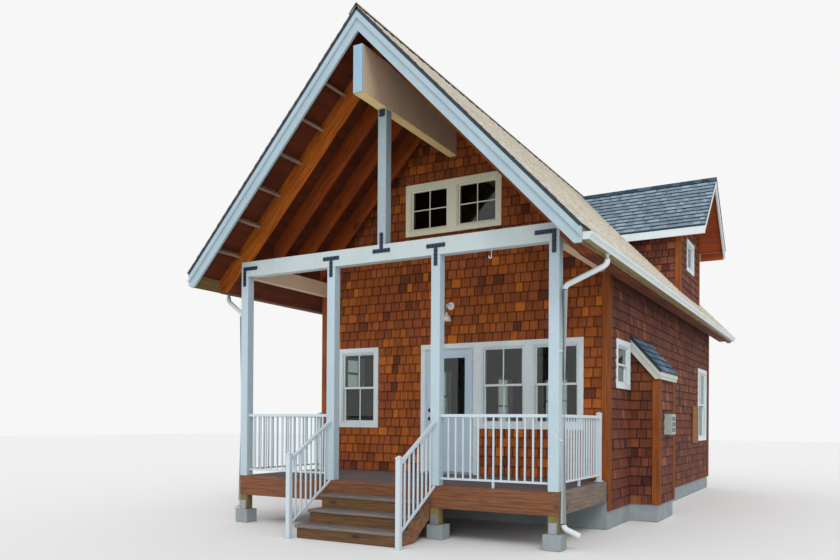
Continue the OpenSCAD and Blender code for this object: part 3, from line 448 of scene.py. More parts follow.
# Cedar for the corner boards, whose lowest tone is painted shade
timberFinish("cornerCedar", (160, 88, 32), (112, 56, 18), (34, 34, 1.8), lowTone=0.2)
timberFinish("fasciaCedar", (156, 128, 80), (112, 88, 52), (30, 1.6, 30))
timberFinish("stringerTimber", (162, 116, 84), (112, 76, 54), (2, 14, 20))
for name, light, dark, knots in (
        ("deckRim", (142, 92, 62), (92, 58, 38), 0.22), ("deckRimGrey", (138, 122, 108), (98, 84, 74), 0.16),
        ("wallPanel", (156, 104, 60), (112, 70, 38), 0.12), ("deckBoards", (126, 114, 114), (94, 83, 85), 0.12),
        ("stairTimber", (134, 124, 118), (94, 86, 82), 0.14), ("riserTimber", (122, 88, 56), (82, 58, 36), 0.2),
        ("stubTimber", (140, 128, 84), (104, 92, 56), 0.14)):
    timberFinish(name, light, dark, knots=knots)
# The trim's white paint, and copies of it painted darker as shade for the posts, barge boards, front beam and king
# post, and bluish as sky shade for the ridge beam's end; the closet trim and gable windows keep their own colours
for name, colour in {
    "whitePaint": (218, 230, 233), "postPaintShaded": (182, 202, 212), "bargePaintShaded": (168, 190, 200),
    "beamWhiteShaded": (192, 205, 207), "kingPaintShaded": (152, 170, 176), "ridgeEndPaintSkyShade": (148, 182, 202),
    "closetPaint": (200, 204, 192), "creamPaint": (240, 239, 214),
}.items():
    paintedFinish(name, colour)
# White paint painted yellow as a bounce highlight for the ridge beam's underside, and tan as warm bounce light for
# the beams' sides
paintedFinish("beamUnderBounceLight", (254, 230, 164), 0.55)
paintedFinish("beamPaintWarmBounce", (230, 204, 174), 0.55)
paintedFinish("doorPaint", (188, 209, 226), 0.42, grainy=False)
paintedFinish("railingPaint", (200, 215, 223), 0.35, 0.08, False)
paintedFinish("gutterEnamel", (214, 224, 226), 0.35, 0.18, False)
# The gutters' white enamel with painted olive shade on its underside
paintedFinish("gutterShadedBelow", (214, 224, 226), 0.35, 0.18, False, ((146, 138, 100), 3.4780, 3.4830))
paintedFinish("lampEnamel", (232, 232, 226), 0.35, grainy=False)
paintedFinish("meterEnamel", (168, 176, 172), 0.45, grainy=False)
metalFinish("blackSteel", (44, 58, 80), 0.5, 0.3, 90)
metalFinish("edgeMetal", (38, 50, 66), 0.5, 0.2, 40)
metalFinish("ventMesh", (26, 28, 32), 0.8, 0.1, 300)
metalFinish("galvanised", (168, 176, 182), 0.4, 0.7, 45)
metalFinish("hingeSteel", (180, 182, 180), 0.32, 0.9, 120)
metalFinish("lockBlack", (46, 46, 50), 0.38, 0.6, 120)
# Grey concrete with a blue tint that is painted sky shade
stoneFinish("concrete", (154, 164, 168))
glassFinish("pane", (186, 198, 194))
print("finishes made:", len(finishes))

# The nodes of the frame that stay in view
for finish, nodes in {
    "innerBoards": ("floor", "loft_floor", "ceiling"),
    "plywood": ("roof_left", "roof_right"),
    "dormerLining": ("dormer_roof",),
    "wallBoards": ("front_wall_left", "front_wall_right", "front_wall_over_door", "front_gable", "back_wall",
                   "left_wall", "right_wall", "dormer_walls", "closet_walls"),
    "pane": ("window_glass", "door_glass"),
    "hingeSteel": ("door_hinges",),
}.items():
    for node in nodes:
        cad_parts[node].material_slots[0].material = finishes[finish]


# wall shingles
walls = {
    name: {"along": along, "face": face, "out": out} for name, along, face, out in (
        ("front", "x", frontFace, -1), ("back", "x", cabin["backFace"], 1),
        ("right", "y", sideFace, 1), ("left", "y", -sideFace, -1),
        ("closetNear", "x", closetNear, -1), ("closetFar", "x", closetFar, 1),
        ("closetOuter", "y", cabin["closetFace"], 1),
        ("dormerNear", "x", dormerMiddle - dormerHalf, -1), ("dormerFar", "x", dormerMiddle + dormerHalf, 1))
}
shingles = {
    "exposure": 0.145, "lap": 0.028, "narrow": 0.095, "wide": 0.185, "joint": 0.006, "leastShift": 0.022,
    "leastHigh": 0.012, "leastCourse": 0.020, "butt": 0.020, "head": 0.003, "sunk": 0.002, "uneven": 0.003,
    "bulge": 0.002, "brightShare": 0.06, "darkShare": 0.06,
}


def onWall(wall, along, up, out):
    depth = wall["face"] + wall["out"] * out
    return Vector((along, depth, up)) if wall["along"] == "x" else Vector((depth, along, up))


def wallBoard(bm, wall, along, up, out, tone=0.5):
    # A board on a wall: each size is a pair of its two ends
    return addBoard(bm, *(onWall(wall, *corner) for corner in zip(along, up, out)), tone=tone)


def courseStretches(foot, head, start, end, holes):
    # The free stretches of one course, each with its own foot and head beside an opening
    marks = sorted({start, end, *(m for hole in holes for m in hole[:2] if start < m < end)})
    stretches = []
    for a, b in zip(marks, marks[1:]):
        low, high, middle = foot, head, (a + b) / 2
        for left, right, bottom, top in holes:
            if left < middle < right:
                if bottom <= low < top:
                    low = top
                elif low < bottom < high:
                    high = bottom
        if high - low < shingles["leastHigh"]:
            continue
        if stretches and abs(stretches[-1][1] - a) < 1e-6 and stretches[-1][2:] == [low, high]:
            stretches[-1][1] = b
        else:
            stretches.append([a, b, low, high])
    return stretches


def pickTone(draw):
    if draw.random() < shingles["brightShare"]:
        return draw.uniform(0.9, 1.0)
    if draw.random() < shingles["darkShare"]:
        return draw.uniform(0.0, 0.12)
    return draw.triangular(0.15, 0.85, 0.5)


def addShingle(bm, wall, along, up, head, draw):
    # A tapered shingle with a skewed and slightly bulging butt
    made = wallBoard(bm, wall, along, up, (-shingles["sunk"], shingles["butt"]), pickTone(draw))
    skew = draw.uniform(-1, 1) * shingles["uneven"]
    bulge = draw.uniform(-shingles["bulge"], shingles["bulge"])
    middle, width = sum(along) / 2, along[1] - along[0]
    side = 0 if wall["along"] == "x" else 1
    outer = wall["face"] + wall["out"] * shingles["butt"] / 2
    for v in made:
        isLow = v.co.z < sum(up) / 2
        if (v.co[1 - side] - outer) * wall["out"] > 0:
            if isLow:
                v.co[1 - side] += wall["out"] * bulge
            else:
                v.co[1 - side] = wall["face"] + wall["out"] * head
        if isLow:
            v.co.z += skew * (v.co[side] - middle) / width + abs(skew) * 0.5
    markLay(bm, made, lambda c: (c[side] - along[0]) / width, lambda c: (c.z - up[0]) / shingles["exposure"])


def coverWall(name, wallName, ends, foot, top, holes=(), cuts=(), seed=1):
    # ends are the wall's two ends, or a function that gives them for a height
    wall, draw, bm = walls[wallName], random.Random(seed), newMesh()
    low, before = foot, []
    while low < top - shingles["leastCourse"]:
        high = min(low + shingles["exposure"], top)
        joints = []
        start, end = ends(low) if callable(ends) else ends
        for left, right, bottom, head in courseStretches(low, high, start, end, holes):
            place = left
            while place < right - 1e-6:
                for _ in range(6):
                    width = draw.uniform(shingles["narrow"], shingles["wide"])
                    if all(abs(place + width - joint) > shingles["leastShift"] for joint in before):
                        break
                width = right - place if right - place - width < shingles["narrow"] * 0.6 else width
                lap = shingles["lap"] if head > high - 1e-6 and high < top - 1e-6 else 0
                addShingle(bm, wall, (place + shingles["joint"] / 2, place + width - shingles["joint"] / 2),
                           (bottom, head + lap), shingles["head"] if lap else shingles["head"] + 0.001, draw)
                place += width
                joints.append(place)
        before = joints
        low += shingles["exposure"]
    for point, away in cuts:
        trimAway(bm, point, away)
    # Walls other than the front take the copy of the stain painted darker as shade
    addPiece(name, bm, "wallShingle" if wallName == "front" else "sideShingleShaded")


# Windows: their kinds, where each one stands, and the casing boards round them
windowKinds = {
    "wide": {"sill": 1.480, "wide": 0.684, "high": 1.176, "bars": (1, 0)},
    "tall": {"sill": 1.480, "wide": 0.658, "high": 1.176, "bars": (1, 0)},
    "small": {"sill": 2.088, "wide": 0.628, "high": 0.568, "bars": (0, 0)},
    "side": {"sill": 1.198, "wide": 0.938, "high": 1.458, "bars": (0, 0)},
    "dormer": {"sill": 4.7376, "wide": 0.648, "high": 0.498, "bars": (0, 0), "fixed": True},
    "gable": {"sill": 4.566, "wide": 0.688, "high": 0.678, "bars": (1, 1), "fixed": True},
}
windows, gableWindows = ([
    {"wall": wall, "at": at, **windowKinds[kind]} for wall, at, kind in places] for places in (
    (("front", 0.872, "wide"), ("front", 1.708, "wide"), ("front", -1.760, "tall"), ("right", 0.640, "small"),
     ("right", 7.485, "side"), ("left", 0.640, "small"), ("left", 4.110, "tall"), ("left", 7.485, "side"),
     ("back", -1.240, "tall"), ("back", 1.240, "tall"), ("right", dormerMiddle, "dormer")),
    [(wall, at, "gable") for wall in ("front", "back") for at in (-0.420, 0.420)]))
casing = {"wide": 0.076, "thick": 0.025, "headProud": 0.002, "edge": 0.0021}
# The two windows beside the door share one casing, whose head runs on over the door
doorCasing = {"left": -0.541, "right": 0.454, "head": 2.732, "groupFoot": 1.404, "groupRight": 2.126,
              "mullion": (1.214, 1.366)}


def casingHole(window):
    half = window["wide"] / 2 + casing["wide"]
    return (window["at"] - half, window["at"] + half, window["sill"] - casing["wide"],
            window["sill"] + window["high"] + casing["wide"])


def holesOf(wall):
    return [casingHole(w) for w in windows + gableWindows if w["wall"] == wall]


wallEnd, gablePeak, shingleFoot = sideFace - cornerBoard, cabin["boardPeak"], cabin["shingleFoot"]
gableCuts = [((0, 0, gablePeak - 0.004), (s * roofFall, 0, 1)) for s in (1, -1)]


def gableEnds(low):
    reach = min(wallEnd, (gablePeak - low) / roofFall)
    return -reach, reach


frontHoles = [(doorCasing["left"], doorCasing["right"], 0.0, doorCasing["head"]), (-0.070, 0.070, 5.672, 7.0),
              *[(s * outerPost - postSide / 2, s * outerPost + postSide / 2, beamFoot, beamTop) for s in (-1, 1)]]
coverWall("shingles_front", "front", gableEnds, deckTop + 0.012, gablePeak, frontHoles + holesOf("front"),
          gableCuts, 11)
coverWall("shingles_back", "back", gableEnds, shingleFoot, gablePeak, holesOf("back"), gableCuts, 12)
sideEnds, sideTop = (frontFace + cornerBoard, cabin["backFace"] - cornerBoard), 4.067
closetHole = (closetNear, closetFar, 0.0, closetPeak - 0.03)
coverWall("shingles_right", "right", sideEnds, shingleFoot, sideTop,
          [closetHole, *[h for h in holesOf("right") if h[2] < sideTop]], seed=13)
coverWall("shingles_left", "left", sideEnds, shingleFoot, sideTop, holesOf("left"), seed=14)
closetCut = ((sideFace, 0, closetPeak - cabin["closetThick"]), (cabin["closetFall"], 0, 1))
for name, wallName, seed in (("near", "closetNear", 15), ("far", "closetFar", 16)):
    coverWall("shingles_closet_" + name, wallName, (sideFace, cabin["closetFace"] - cornerBoard),
              shingleFoot, 2.80, cuts=[closetCut], seed=seed)
coverWall("shingles_closet_outer", "closetOuter", (closetNear + cornerBoard, closetFar - cornerBoard),
          shingleFoot, 2.27, seed=17)
dormerUnder = dormerPeak - cabin["dormerThick"]
mainCut = ((0, 0, roofPeak - 0.006), (-roofFall, 0, -1))
coverWall("shingles_dormer_front", "right",
          (dormerMiddle - dormerHalf + cornerBoard, dormerMiddle + dormerHalf - cornerBoard),
          cabin["dormerFoot"], dormerUnder, [casingHole(windows[-1])],
          [((0, dormerMiddle, dormerUnder), (0, s * dormerFall, 1)) for s in (1, -1)], 18)
cheekTop = dormerUnder - dormerFall * dormerHalf - 0.012
for name, wallName, seed in (("near", "dormerNear", 19), ("far", "dormerFar", 20)):
    coverWall("shingles_dormer_" + name, wallName, (1.0, wallEnd), cabin["dormerFoot"], cheekTop, cuts=[mainCut],
              seed=seed)
print("walls shingled")

# roof shingles: whole sheets with their seams, and thicker tabs of different widths on them
roofing = {
    "exposure": 0.143, "lap": 0.04, "leastCourse": 0.03, "leastLong": 0.02, "overEave": 0.018, "overRake": 0.010,
    "sheet": 0.006, "sheetLength": 0.98, "seam": 0.0015, "sheetHead": 0.0015,
    "tab": 0.006, "tabNarrow": 0.07, "tabWide": 0.24, "tabLap": 0.02, "tabOver": 0.001, "tabSunk": 0.002,
    "tabHead": 0.003, "tabStart": 0.2, "gapNarrow": 0.05, "gapWide": 0.18,
}


def slopeFrame(origin, along, down, up):
    # Turns distances along, down and up from a slope into a place on the cabin
    return Matrix([(*axis, last) for axis, last in ((along, 0), (down, 0), (up, 0), (origin, 1))]).transposed()


rise, run = math.sin(roofSlope), math.cos(roofSlope)
dormerRise, dormerRun = math.sin(dormerSlope), math.cos(dormerSlope)
closetRise, closetRun = math.sin(closetSlope), math.cos(closetSlope)
slopes = {
    "right": slopeFrame((0, 0, roofPeak), (0, 1, 0), (run, 0, -rise), (rise, 0, run)),
    "left": slopeFrame((0, 0, roofPeak), (0, 1, 0), (-run, 0, -rise), (-rise, 0, run)),
    "dormerNear": slopeFrame((0, dormerMiddle, dormerPeak), (1, 0, 0), (0, -dormerRun, -dormerRise),
                             (0, -dormerRise, dormerRun)),
    "dormerFar": slopeFrame((0, dormerMiddle, dormerPeak), (1, 0, 0), (0, dormerRun, -dormerRise),
                            (0, dormerRise, dormerRun)),
    "closet": slopeFrame((sideFace, 0, closetPeak), (0, 1, 0), (closetRun, 0, -closetRise),
                         (closetRise, 0, closetRun)),
}


def addTab(bm, slope, along, down, heights, headHeight, tone):
    # A thin sheet on a slope, thick at its lower edge and tucked down at its upper one
    made = addBoard(bm, (along[0], down[0], 0), (along[1], down[1], 1), tone=tone)
    middle = sum(down) / 2
    for v in made:
        top, lower = v.co.z > 0.5, v.co.y > middle
        v.co.z = (heights[1] if lower else headHeight) if top else (heights[0] if lower else 0.0)
    markLay(bm, made, lambda c: (c.x - along[0]) / (along[1] - along[0]),
            lambda c: (down[1] - c.y) / roofing["exposure"])
    for v in made:
        v.co = slope @ v.co


def layCourses(bm, slopeName, stretch, firstDown, lastDown, draw):
    # Courses from the eave up: firstDown and lastDown are distances from the ridge
    slope, exposure, sheet = slopes[slopeName], roofing["exposure"], roofing["sheet"]
    down = firstDown
    while down > lastDown + roofing["leastCourse"]:
        for start, end in stretch(down - exposure, down):
            head = max(down - exposure - roofing["lap"], lastDown)
            place = start - draw.uniform(0, roofing["sheetLength"])
            while place < end:
                a, b = max(place, start), min(place + roofing["sheetLength"], end)
                if b - a > roofing["leastLong"]:
                    addTab(bm, slope, (a, b - roofing["seam"]), (head, down), (0.0, sheet), roofing["sheetHead"],
                           draw.uniform(0.15, 0.5))
                place += roofing["sheetLength"]
            head = max(down - exposure - roofing["tabLap"], lastDown)
            place = start - draw.uniform(0, roofing["tabStart"])
            while place < end:
                width = draw.uniform(roofing["tabNarrow"], roofing["tabWide"])
                a, b = max(place, start), min(place + width, end)
                if b - a > roofing["leastLong"]:
                    addTab(bm, slope, (a, b), (head, down + roofing["tabOver"]),
                           (sheet - roofing["tabSunk"], sheet + roofing["tab"]), roofing["tabHead"],
                           draw.uniform(0.35, 1.0))
                place += width + draw.uniform(roofing["gapNarrow"], roofing["gapWide"])
        down -= exposure


def valleyAt(down):
    # Half the dormer's width on the main slope, at a distance down from the ridge
    half = (down * run * roofFall - (roofPeak - dormerPeak)) / dormerFall
    return min(max(half, 0.0), dormerHalf)


rakeStart, rakeEnd = cabin["bargeFront"] - roofing["overRake"], cabin["bargeBack"] + roofing["overRake"]
eaveDown = (roofHalf + roofing["overEave"]) / run
bm = newMesh()
layCourses(bm, "left", lambda head, foot: [(rakeStart, rakeEnd)], eaveDown, 0.0, random.Random(31))
# The main roof's shingles are painted as lit by sun, here and on the right slope
addPiece("roofing_left", bm, "roofShingle")

valleyDown = (roofPeak - dormerPeak + dormerFall * dormerHalf) / rise
valleyPoint = ((roofPeak - dormerPeak) / roofFall, dormerMiddle, 0)
splitDown = eaveDown - math.floor((eaveDown - valleyDown) / roofing["exposure"]) * roofing["exposure"]
# below the dormer's front wall the courses run through, and the last one ends at the wall
wallDown = sideFace / run
fullCourses = math.floor((eaveDown - wallDown - roofing["lap"]) / roofing["exposure"])
wallCourse = eaveDown - fullCourses * roofing["exposure"]
bm = newMesh()
for side, rake in ((-1, rakeStart), (1, rakeEnd)):
    reach = lambda down: [sorted((rake, dormerMiddle + side * valleyAt(down)))]
    part = newMesh()
    layCourses(part, "right", lambda head, foot: reach(foot if foot < wallCourse + 0.01 else 0.0), eaveDown,
               splitDown, random.Random(32 + side))
    joinInto(bm, part)
    part = newMesh()
    layCourses(part, "right", lambda head, foot: reach(max(head, 0)), splitDown, 0.0, random.Random(42 + side))
    trimAway(part, valleyPoint, (1, -side * dormerFall / roofFall, 0))
    joinInto(bm, part)
part = newMesh()
layCourses(part, "right", lambda head, foot: [(dormerMiddle - dormerHalf, dormerMiddle + dormerHalf)],
           wallCourse, wallDown, random.Random(35))
joinInto(bm, part)
addPiece("roofing_right", bm, "roofShingle")


def dormerStart(head, foot):
    ridgeEnd = max(0.0, (roofPeak - dormerPeak + max(head, 0) * dormerRise) / roofFall)
    return [(ridgeEnd - 0.04, dormerFront + roofing["overRake"])]


bm = newMesh()
dormerDown = (cabin["dormerEave"] + 0.010) / dormerRun
for slopeName, seed in (("dormerNear", 51), ("dormerFar", 52)):
    layCourses(bm, slopeName, dormerStart, dormerDown, 0.0, random.Random(seed))
trimAway(bm, *mainCut)
# The dormer's shingles are painted bluish and darker as shade
addPiece("roofing_dormer", bm, "roofShingleSkyShade")

bm = newMesh()
closetDown = (cabin["closetEave"] - sideFace + 0.010) / closetRun
layCourses(bm, "closet", lambda head, foot: [(closetEnds[0] - 0.008, closetEnds[1] + 0.008)], closetDown, 0.03,
           random.Random(53))
# The closet's shingles are painted darker still as shade
addPiece("roofing_closet", bm, "roofShingleDeepShade")

caps = {"length": 0.145, "lapped": 1.25, "first": 0.75, "reach": 0.134, "thick": 0.004, "nearThick": 1.4,
        "farThick": 0.7, "ventHigh": 0.026, "ventReach": 0.138, "ventIn": 0.006, "ventFoot": 0.004}


def layCaps(bm, slopeNames, start, end, base, draw):
    # Short folded sheets over a ridge, each lapping the one behind it
    place = end - caps["length"]
    while place > start - caps["length"] * caps["first"]:
        tone = draw.uniform(0.2, 0.9)
        near, last = max(place, start), min(place + caps["length"] * caps["lapped"], end)
        for name in slopeNames:
            for v in addBoard(bm, (near, -base, 0), (last, caps["reach"], 1), tone=tone):
                proud = caps["thick"] * caps["nearThick" if v.co.x < (near + last) / 2 else "farThick"]
                v.co.z = base + proud if v.co.z > 0.5 else base - 0.001
                v.co = slopes[name] @ v.co
        place -= caps["length"]


bm = newMesh()
for name in ("left", "right"):
    addBoard(bm, (rakeStart + caps["ventIn"], -caps["ventHigh"], caps["ventFoot"]),
             (rakeEnd - caps["ventIn"], caps["ventReach"], caps["ventHigh"]), slopes[name])
addPiece("ridge_vent", bm, "ventMesh")
bm = newMesh()
layCaps(bm, ("left", "right"), rakeStart, rakeEnd, caps["ventHigh"], random.Random(61))
addPiece("ridge_caps", bm, "roofShingle")
bm = newMesh()
layCaps(bm, ("dormerNear", "dormerFar"), 0.10, dormerFront + roofing["overRake"], 0.011, random.Random(62))
trimAway(bm, *mainCut)
# The dormer's ridge caps are painted darker as shade
addPiece("ridge_caps_dormer", bm, "roofShingleDeepShade")

# Dark metal edge along the sloping ends and the eaves of every roof
edging = {"thick": 0.003, "drop": 0.038, "flange": 0.06, "start": 0.003, "proud": 0.002, "flangeProud": 0.0012,
          "eaveDrop": 0.040, "closetDrop": 0.028, "over": 0.001}
bm = newMesh()
for slopeName, at, out, end in (
        *((name, cabin[barge], out, eaveDown - 0.006) for barge, out in (("bargeFront", -1), ("bargeBack", 1))
          for name in ("left", "right")),
        *((name, dormerFront, 1, dormerDown - 0.004) for name in ("dormerNear", "dormerFar")),
        *(("closet", closetEnds[i], 2 * i - 1, closetDown - 0.004) for i in (0, 1))):
    face = at + out * edging["thick"]
    addBoard(bm, (at, edging["start"], -edging["drop"]), (face, end, edging["proud"]), slopes[slopeName])
    addBoard(bm, (at - out * edging["flange"], edging["start"], -edging["over"]),
             (face, end, edging["flangeProud"]), slopes[slopeName])
dormerEaveHigh = dormerPeak - dormerFall * cabin["dormerEave"]
dormerEaveStart = (roofPeak - dormerEaveHigh) / roofFall
eaveHigh = roofPeak - roofFall * roofHalf
for s in (-1, 1):
    at = dormerMiddle + s * cabin["dormerEave"]
    addBoard(bm, (dormerEaveStart, at, dormerEaveHigh - edging["eaveDrop"]),
             (dormerFront, at + s * edging["thick"], dormerEaveHigh + edging["over"]))
    addBoard(bm, (s * roofHalf, cabin["bargeFront"], eaveHigh - edging["eaveDrop"]),
             (s * (roofHalf + edging["thick"]), cabin["bargeBack"], eaveHigh + edging["over"]))
closetEaveHigh = closetPeak - cabin["closetFall"] * (cabin["closetEave"] - sideFace)
addBoard(bm, (cabin["closetEave"], closetEnds[0], closetEaveHigh - edging["closetDrop"]),
         (cabin["closetEave"] + edging["thick"], closetEnds[1], closetEaveHigh + edging["over"]))
addPiece("roof_edging", bm, "edgeMetal")
print("roofs covered")

# Window frames, sashes and glazing bars, as deep in the wall as the frame's own windows
sash = {
    "frame": 0.018, "frameOut": (-0.140, 0.015),
    "fixed": 0.026, "fixedOut": (-0.055, -0.020), "fixedBar": 0.017, "fixedBarOut": (-0.034, -0.022),
    "stile": 0.024, "upperOut": (-0.045, -0.015), "lowerOut": (-0.075, -0.045), "bar": 0.020, "barSide": 0.018,
    "barEnd": 0.020, "barBack": 0.018, "barFront": 0.004, "overlap": 0.018, "rail": 0.034,
    "railOut": (-0.030, -0.010),
}


def casingBoards(bm, wall, left, right, bottom, top, mullions=(), headLeft=None):
    # Head, foot and upright boards round one or more windows
    wide, out = casing["wide"], (0, casing["thick"])
    wallBoard(bm, wall, (left if headLeft is None else headLeft, right), (top - wide, top),
              (0, casing["thick"] + casing["headProud"]))
    wallBoard(bm, wall, (left, right), (bottom, bottom + wide), out)
    for a, b in ((left, left + wide), (right - wide, right), *mullions):
        wallBoard(bm, wall, (a, b), (bottom + wide, top - wide), out)


def sashRing(bm, wall, left, right, bottom, top, bar, out):
    wallBoard(bm, wall, (left, left + bar), (bottom, top), out)
    wallBoard(bm, wall, (right - bar, right), (bottom, top), out)
    wallBoard(bm, wall, (left + bar, right - bar), (top - bar, top), out)
    wallBoard(bm, wall, (left + bar, right - bar), (bottom, bottom + bar), out)


def sashBars(bm, wall, counts, left, right, bottom, top, out, width):
    across, up = counts
    for i in range(across):
        middle = left + (right - left) * (i + 1) / (across + 1)
        wallBoard(bm, wall, (middle - width / 2, middle + width / 2), (bottom, top), out)
    for i in range(up):
        middle = bottom + (top - bottom) * (i + 1) / (up + 1)
        wallBoard(bm, wall, (left, right), (middle - width / 2, middle + width / 2), (out[0], out[1] - 0.001))


def windowUnit(bm, window):
    wall, counts, foot, inner = walls[window["wall"]], window["bars"], window["sill"], sash["frame"]
    left, right = window["at"] - window["wide"] / 2, window["at"] + window["wide"] / 2
    head = foot + window["high"]
    sashRing(bm, wall, left, right, foot, head, inner, sash["frameOut"])
    left, right = left + inner, right - inner
    if window.get("fixed"):
        glass = sash["fixed"]
        sashRing(bm, wall, left, right, foot + inner, head - inner, glass, sash["fixedOut"])
        sashBars(bm, wall, counts, left + glass, right - glass, foot + inner + glass, head - inner - glass,
                 sash["fixedBarOut"], sash["fixedBar"])
        return
    meet = window["high"] / 2 + sash["overlap"]
    for bottom, top, out in ((head - meet, head - inner, sash["upperOut"]),
                             (foot + inner, foot + meet, sash["lowerOut"])):
        sashRing(bm, wall, left, right, bottom, top, sash["stile"], out)
        sashBars(bm, wall, counts, left + sash["barSide"], right - sash["barSide"], bottom + sash["barEnd"],
                 top - sash["barEnd"], (out[0] + sash["barBack"], out[1] - sash["barFront"]), sash["bar"])
    wallBoard(bm, wall, (left, right), (head - meet, head - meet + sash["rail"]), sash["railOut"])


bm = newMesh()
for window in windows:
    windowUnit(bm, window)
    if window["wall"] != "front" or window["at"] < 0:
        casingBoards(bm, walls[window["wall"]], *casingHole(window))
casingBoards(bm, walls["front"], doorCasing["right"], doorCasing["groupRight"], doorCasing["groupFoot"],
             doorCasing["head"], [doorCasing["mullion"]], doorCasing["left"])
addPiece("windows_white", bm, "whitePaint", "window_frames", edge=casing["edge"])

bm = newMesh()
for window in gableWindows:
    windowUnit(bm, window)
left, _, bottom, top = casingHole(gableWindows[0])
for wall in ("front", "back"):
    casingBoards(bm, walls[wall], left, -left, bottom, top, [(-casing["wide"], casing["wide"])])
addPiece("windows_cream", bm, "creamPaint", "gable_window_frames", edge=casing["edge"])
print("windows made")

# trim, posts and beams
# The barge boards' white is painted darker as shade
softNode("barge_boards_white", "barge_boards", "bargePaintShaded", 0.003)
softNode("eave_boards_cedar", "eave_boards", "fasciaCedar", 0.002)
# The corner boards' faces turned sideways get a low tone, painted shade
softNode("corner_boards_cedar", "corner_boards", "cornerCedar", 0.003, tones=(0, 0.35, 0.9))
softNode("dormer_trim_white", "dormer_trim", "whitePaint", 0.003)
softNode("foundation_cast", "foundation", "concrete", 0.008)
softNode("door_frame_white", "door_frame", "whitePaint", 0.002)
softNode("deck_railings_white", "deck_railings", "railingPaint", 0.003)
softNode("stair_railings_white", "stair_railings", "railingPaint", 0.003)
softNode("stringers_timber", "stair_frame", "stringerTimber", 0.004)

# The grey bars that carry the barge boards are parted from the rafters, which have another finish
rafters = {"apart": 0.0003, "innerStart": -1.80, "edge": 0.003, "barEdge": 0.002}
frontCut, backCut = (0, postFace - rafters["apart"], 0), (0, cabin["backFace"] + rafters["apart"], 0)
innerCut = (0, rafters["innerStart"], 0)
# The front left rafters take the lit copy of the timber, the others copies painted darker as shade
for name, innerFinish in (("right", "rafterRight"), ("left", "rafterInnerShaded")):
    node = "rafters_" + name
    for part, first, last, finish in (("front", frontCut, innerCut, "rafter" + name.capitalize()),
                                      ("inner", innerCut, backCut, innerFinish)):
        bm = nodeCopy(node)
        trimAway(bm, first, (0, -1, 0))
        trimAway(bm, last, (0, 1, 0))
        # The front rafters' sides get a lower tone than their undersides and ends: painted shade
        if part == "front":
            toneFaces(bm, 1, 0.5, 1.0)
        addPiece(f"rafters_{part}_{name}", bm, finish, node, edge=rafters["edge"])
    bars = newMesh()
    for cut, away in ((frontCut, (0, 1, 0)), (backCut, (0, -1, 0))):
        bm = nodeCopy(node)
        trimAway(bm, cut, away)
        joinInto(bars, bm)
    addPiece("lookouts_" + name, bars, "lookoutTimber", edge=rafters["barEdge"])

# The posts and the front beam are white paint painted darker as shade
boardPiece("posts_white", [((x - postSide / 2, postFace, deckTop), (x + postSide / 2, postBack, beamFoot))
                           for x in postPlaces], "postPaintShaded", "porch_posts", 0.005, 2)
boardPiece("front_beam_white", [((-deckHalf, postFace, beamFoot), (deckHalf, postBack, beamTop))],
           "beamWhiteShaded", "porch_beams", 0.004, 2)
# The side beams' tan is white paint painted in warm bounce light
boardPiece("side_beams_painted", [
    ((s * deckHalf, postBack, beamFoot), (s * (deckHalf - postSide), frontFace, beamTop)) for s in (-1, 1)],
    "beamPaintWarmBounce", None, 0.004, 2)

# The ridge beam is white paint: its sides painted in warm bounce light, a thin strip at its foot painted as a bounce
# highlight, and its end board painted bluish as sky shade
ridgeBeam = {"endBoard": 0.022, "litUnderside": 0.012}
ridgeLow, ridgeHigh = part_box("ridge_beam")
endBack, litUndersideTop = ridgeLow.y + ridgeBeam["endBoard"], ridgeLow.z + ridgeBeam["litUnderside"]
boardPiece("ridge_beam_painted", [((ridgeLow.x, endBack, litUndersideTop), ridgeHigh)], "beamPaintWarmBounce",
           "ridge_beam", 0.004, 2)
boardPiece("ridge_beam_lit_underside", [((ridgeLow.x, endBack, ridgeLow.z), (ridgeHigh.x, ridgeHigh.y, litUndersideTop))],
           "beamUnderBounceLight")
boardPiece("ridge_beam_end", [(ridgeLow, (ridgeHigh.x, endBack, ridgeHigh.z))], "ridgeEndPaintSkyShade",
           None, 0.004, 2)
# The king post's white is painted darker as shade
boardPiece("king_post_white", [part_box("king_post")], "kingPaintShaded", "king_post", 0.004, 2)

# Boards that close the rafter spaces over the side beams: one outside and one inside each beam
blocking = {"outer": (3.727, 4.060, 0.012), "inner": (beamTop, 4.190, 0.018)}
boardPiece("rafter_blocking", [
    ((s * at, postBack, foot), (s * (at + thick), frontFace, head)) for s in (-1, 1)
    for at, (foot, head, thick) in ((deckHalf, blocking["outer"]), (deckHalf - postSide, blocking["inner"]))],
    "plywood", edge=0.002)

# Brown lining inside the dormer's eave boards
lining = {"low": 5.156, "high": 5.318, "board": 0.020, "thick": 0.004, "lap": 0.002, "end": 0.042}
bm = newMesh()
for s in (-1, 1):
    outer = dormerMiddle + s * cabin["dormerEave"]
    inner = outer - s * lining["board"]
    innerFace = inner - s * lining["thick"]
    for a, low, high in ((inner, lining["low"], lining["high"]),
                         (outer - s * lining["lap"], lining["low"] - lining["thick"], lining["low"])):
        addBoard(bm, (sideFace, a, low), (dormerFront - lining["end"], innerFace, high))
addPiece("dormer_eave_lining", bm, "dormerLining")

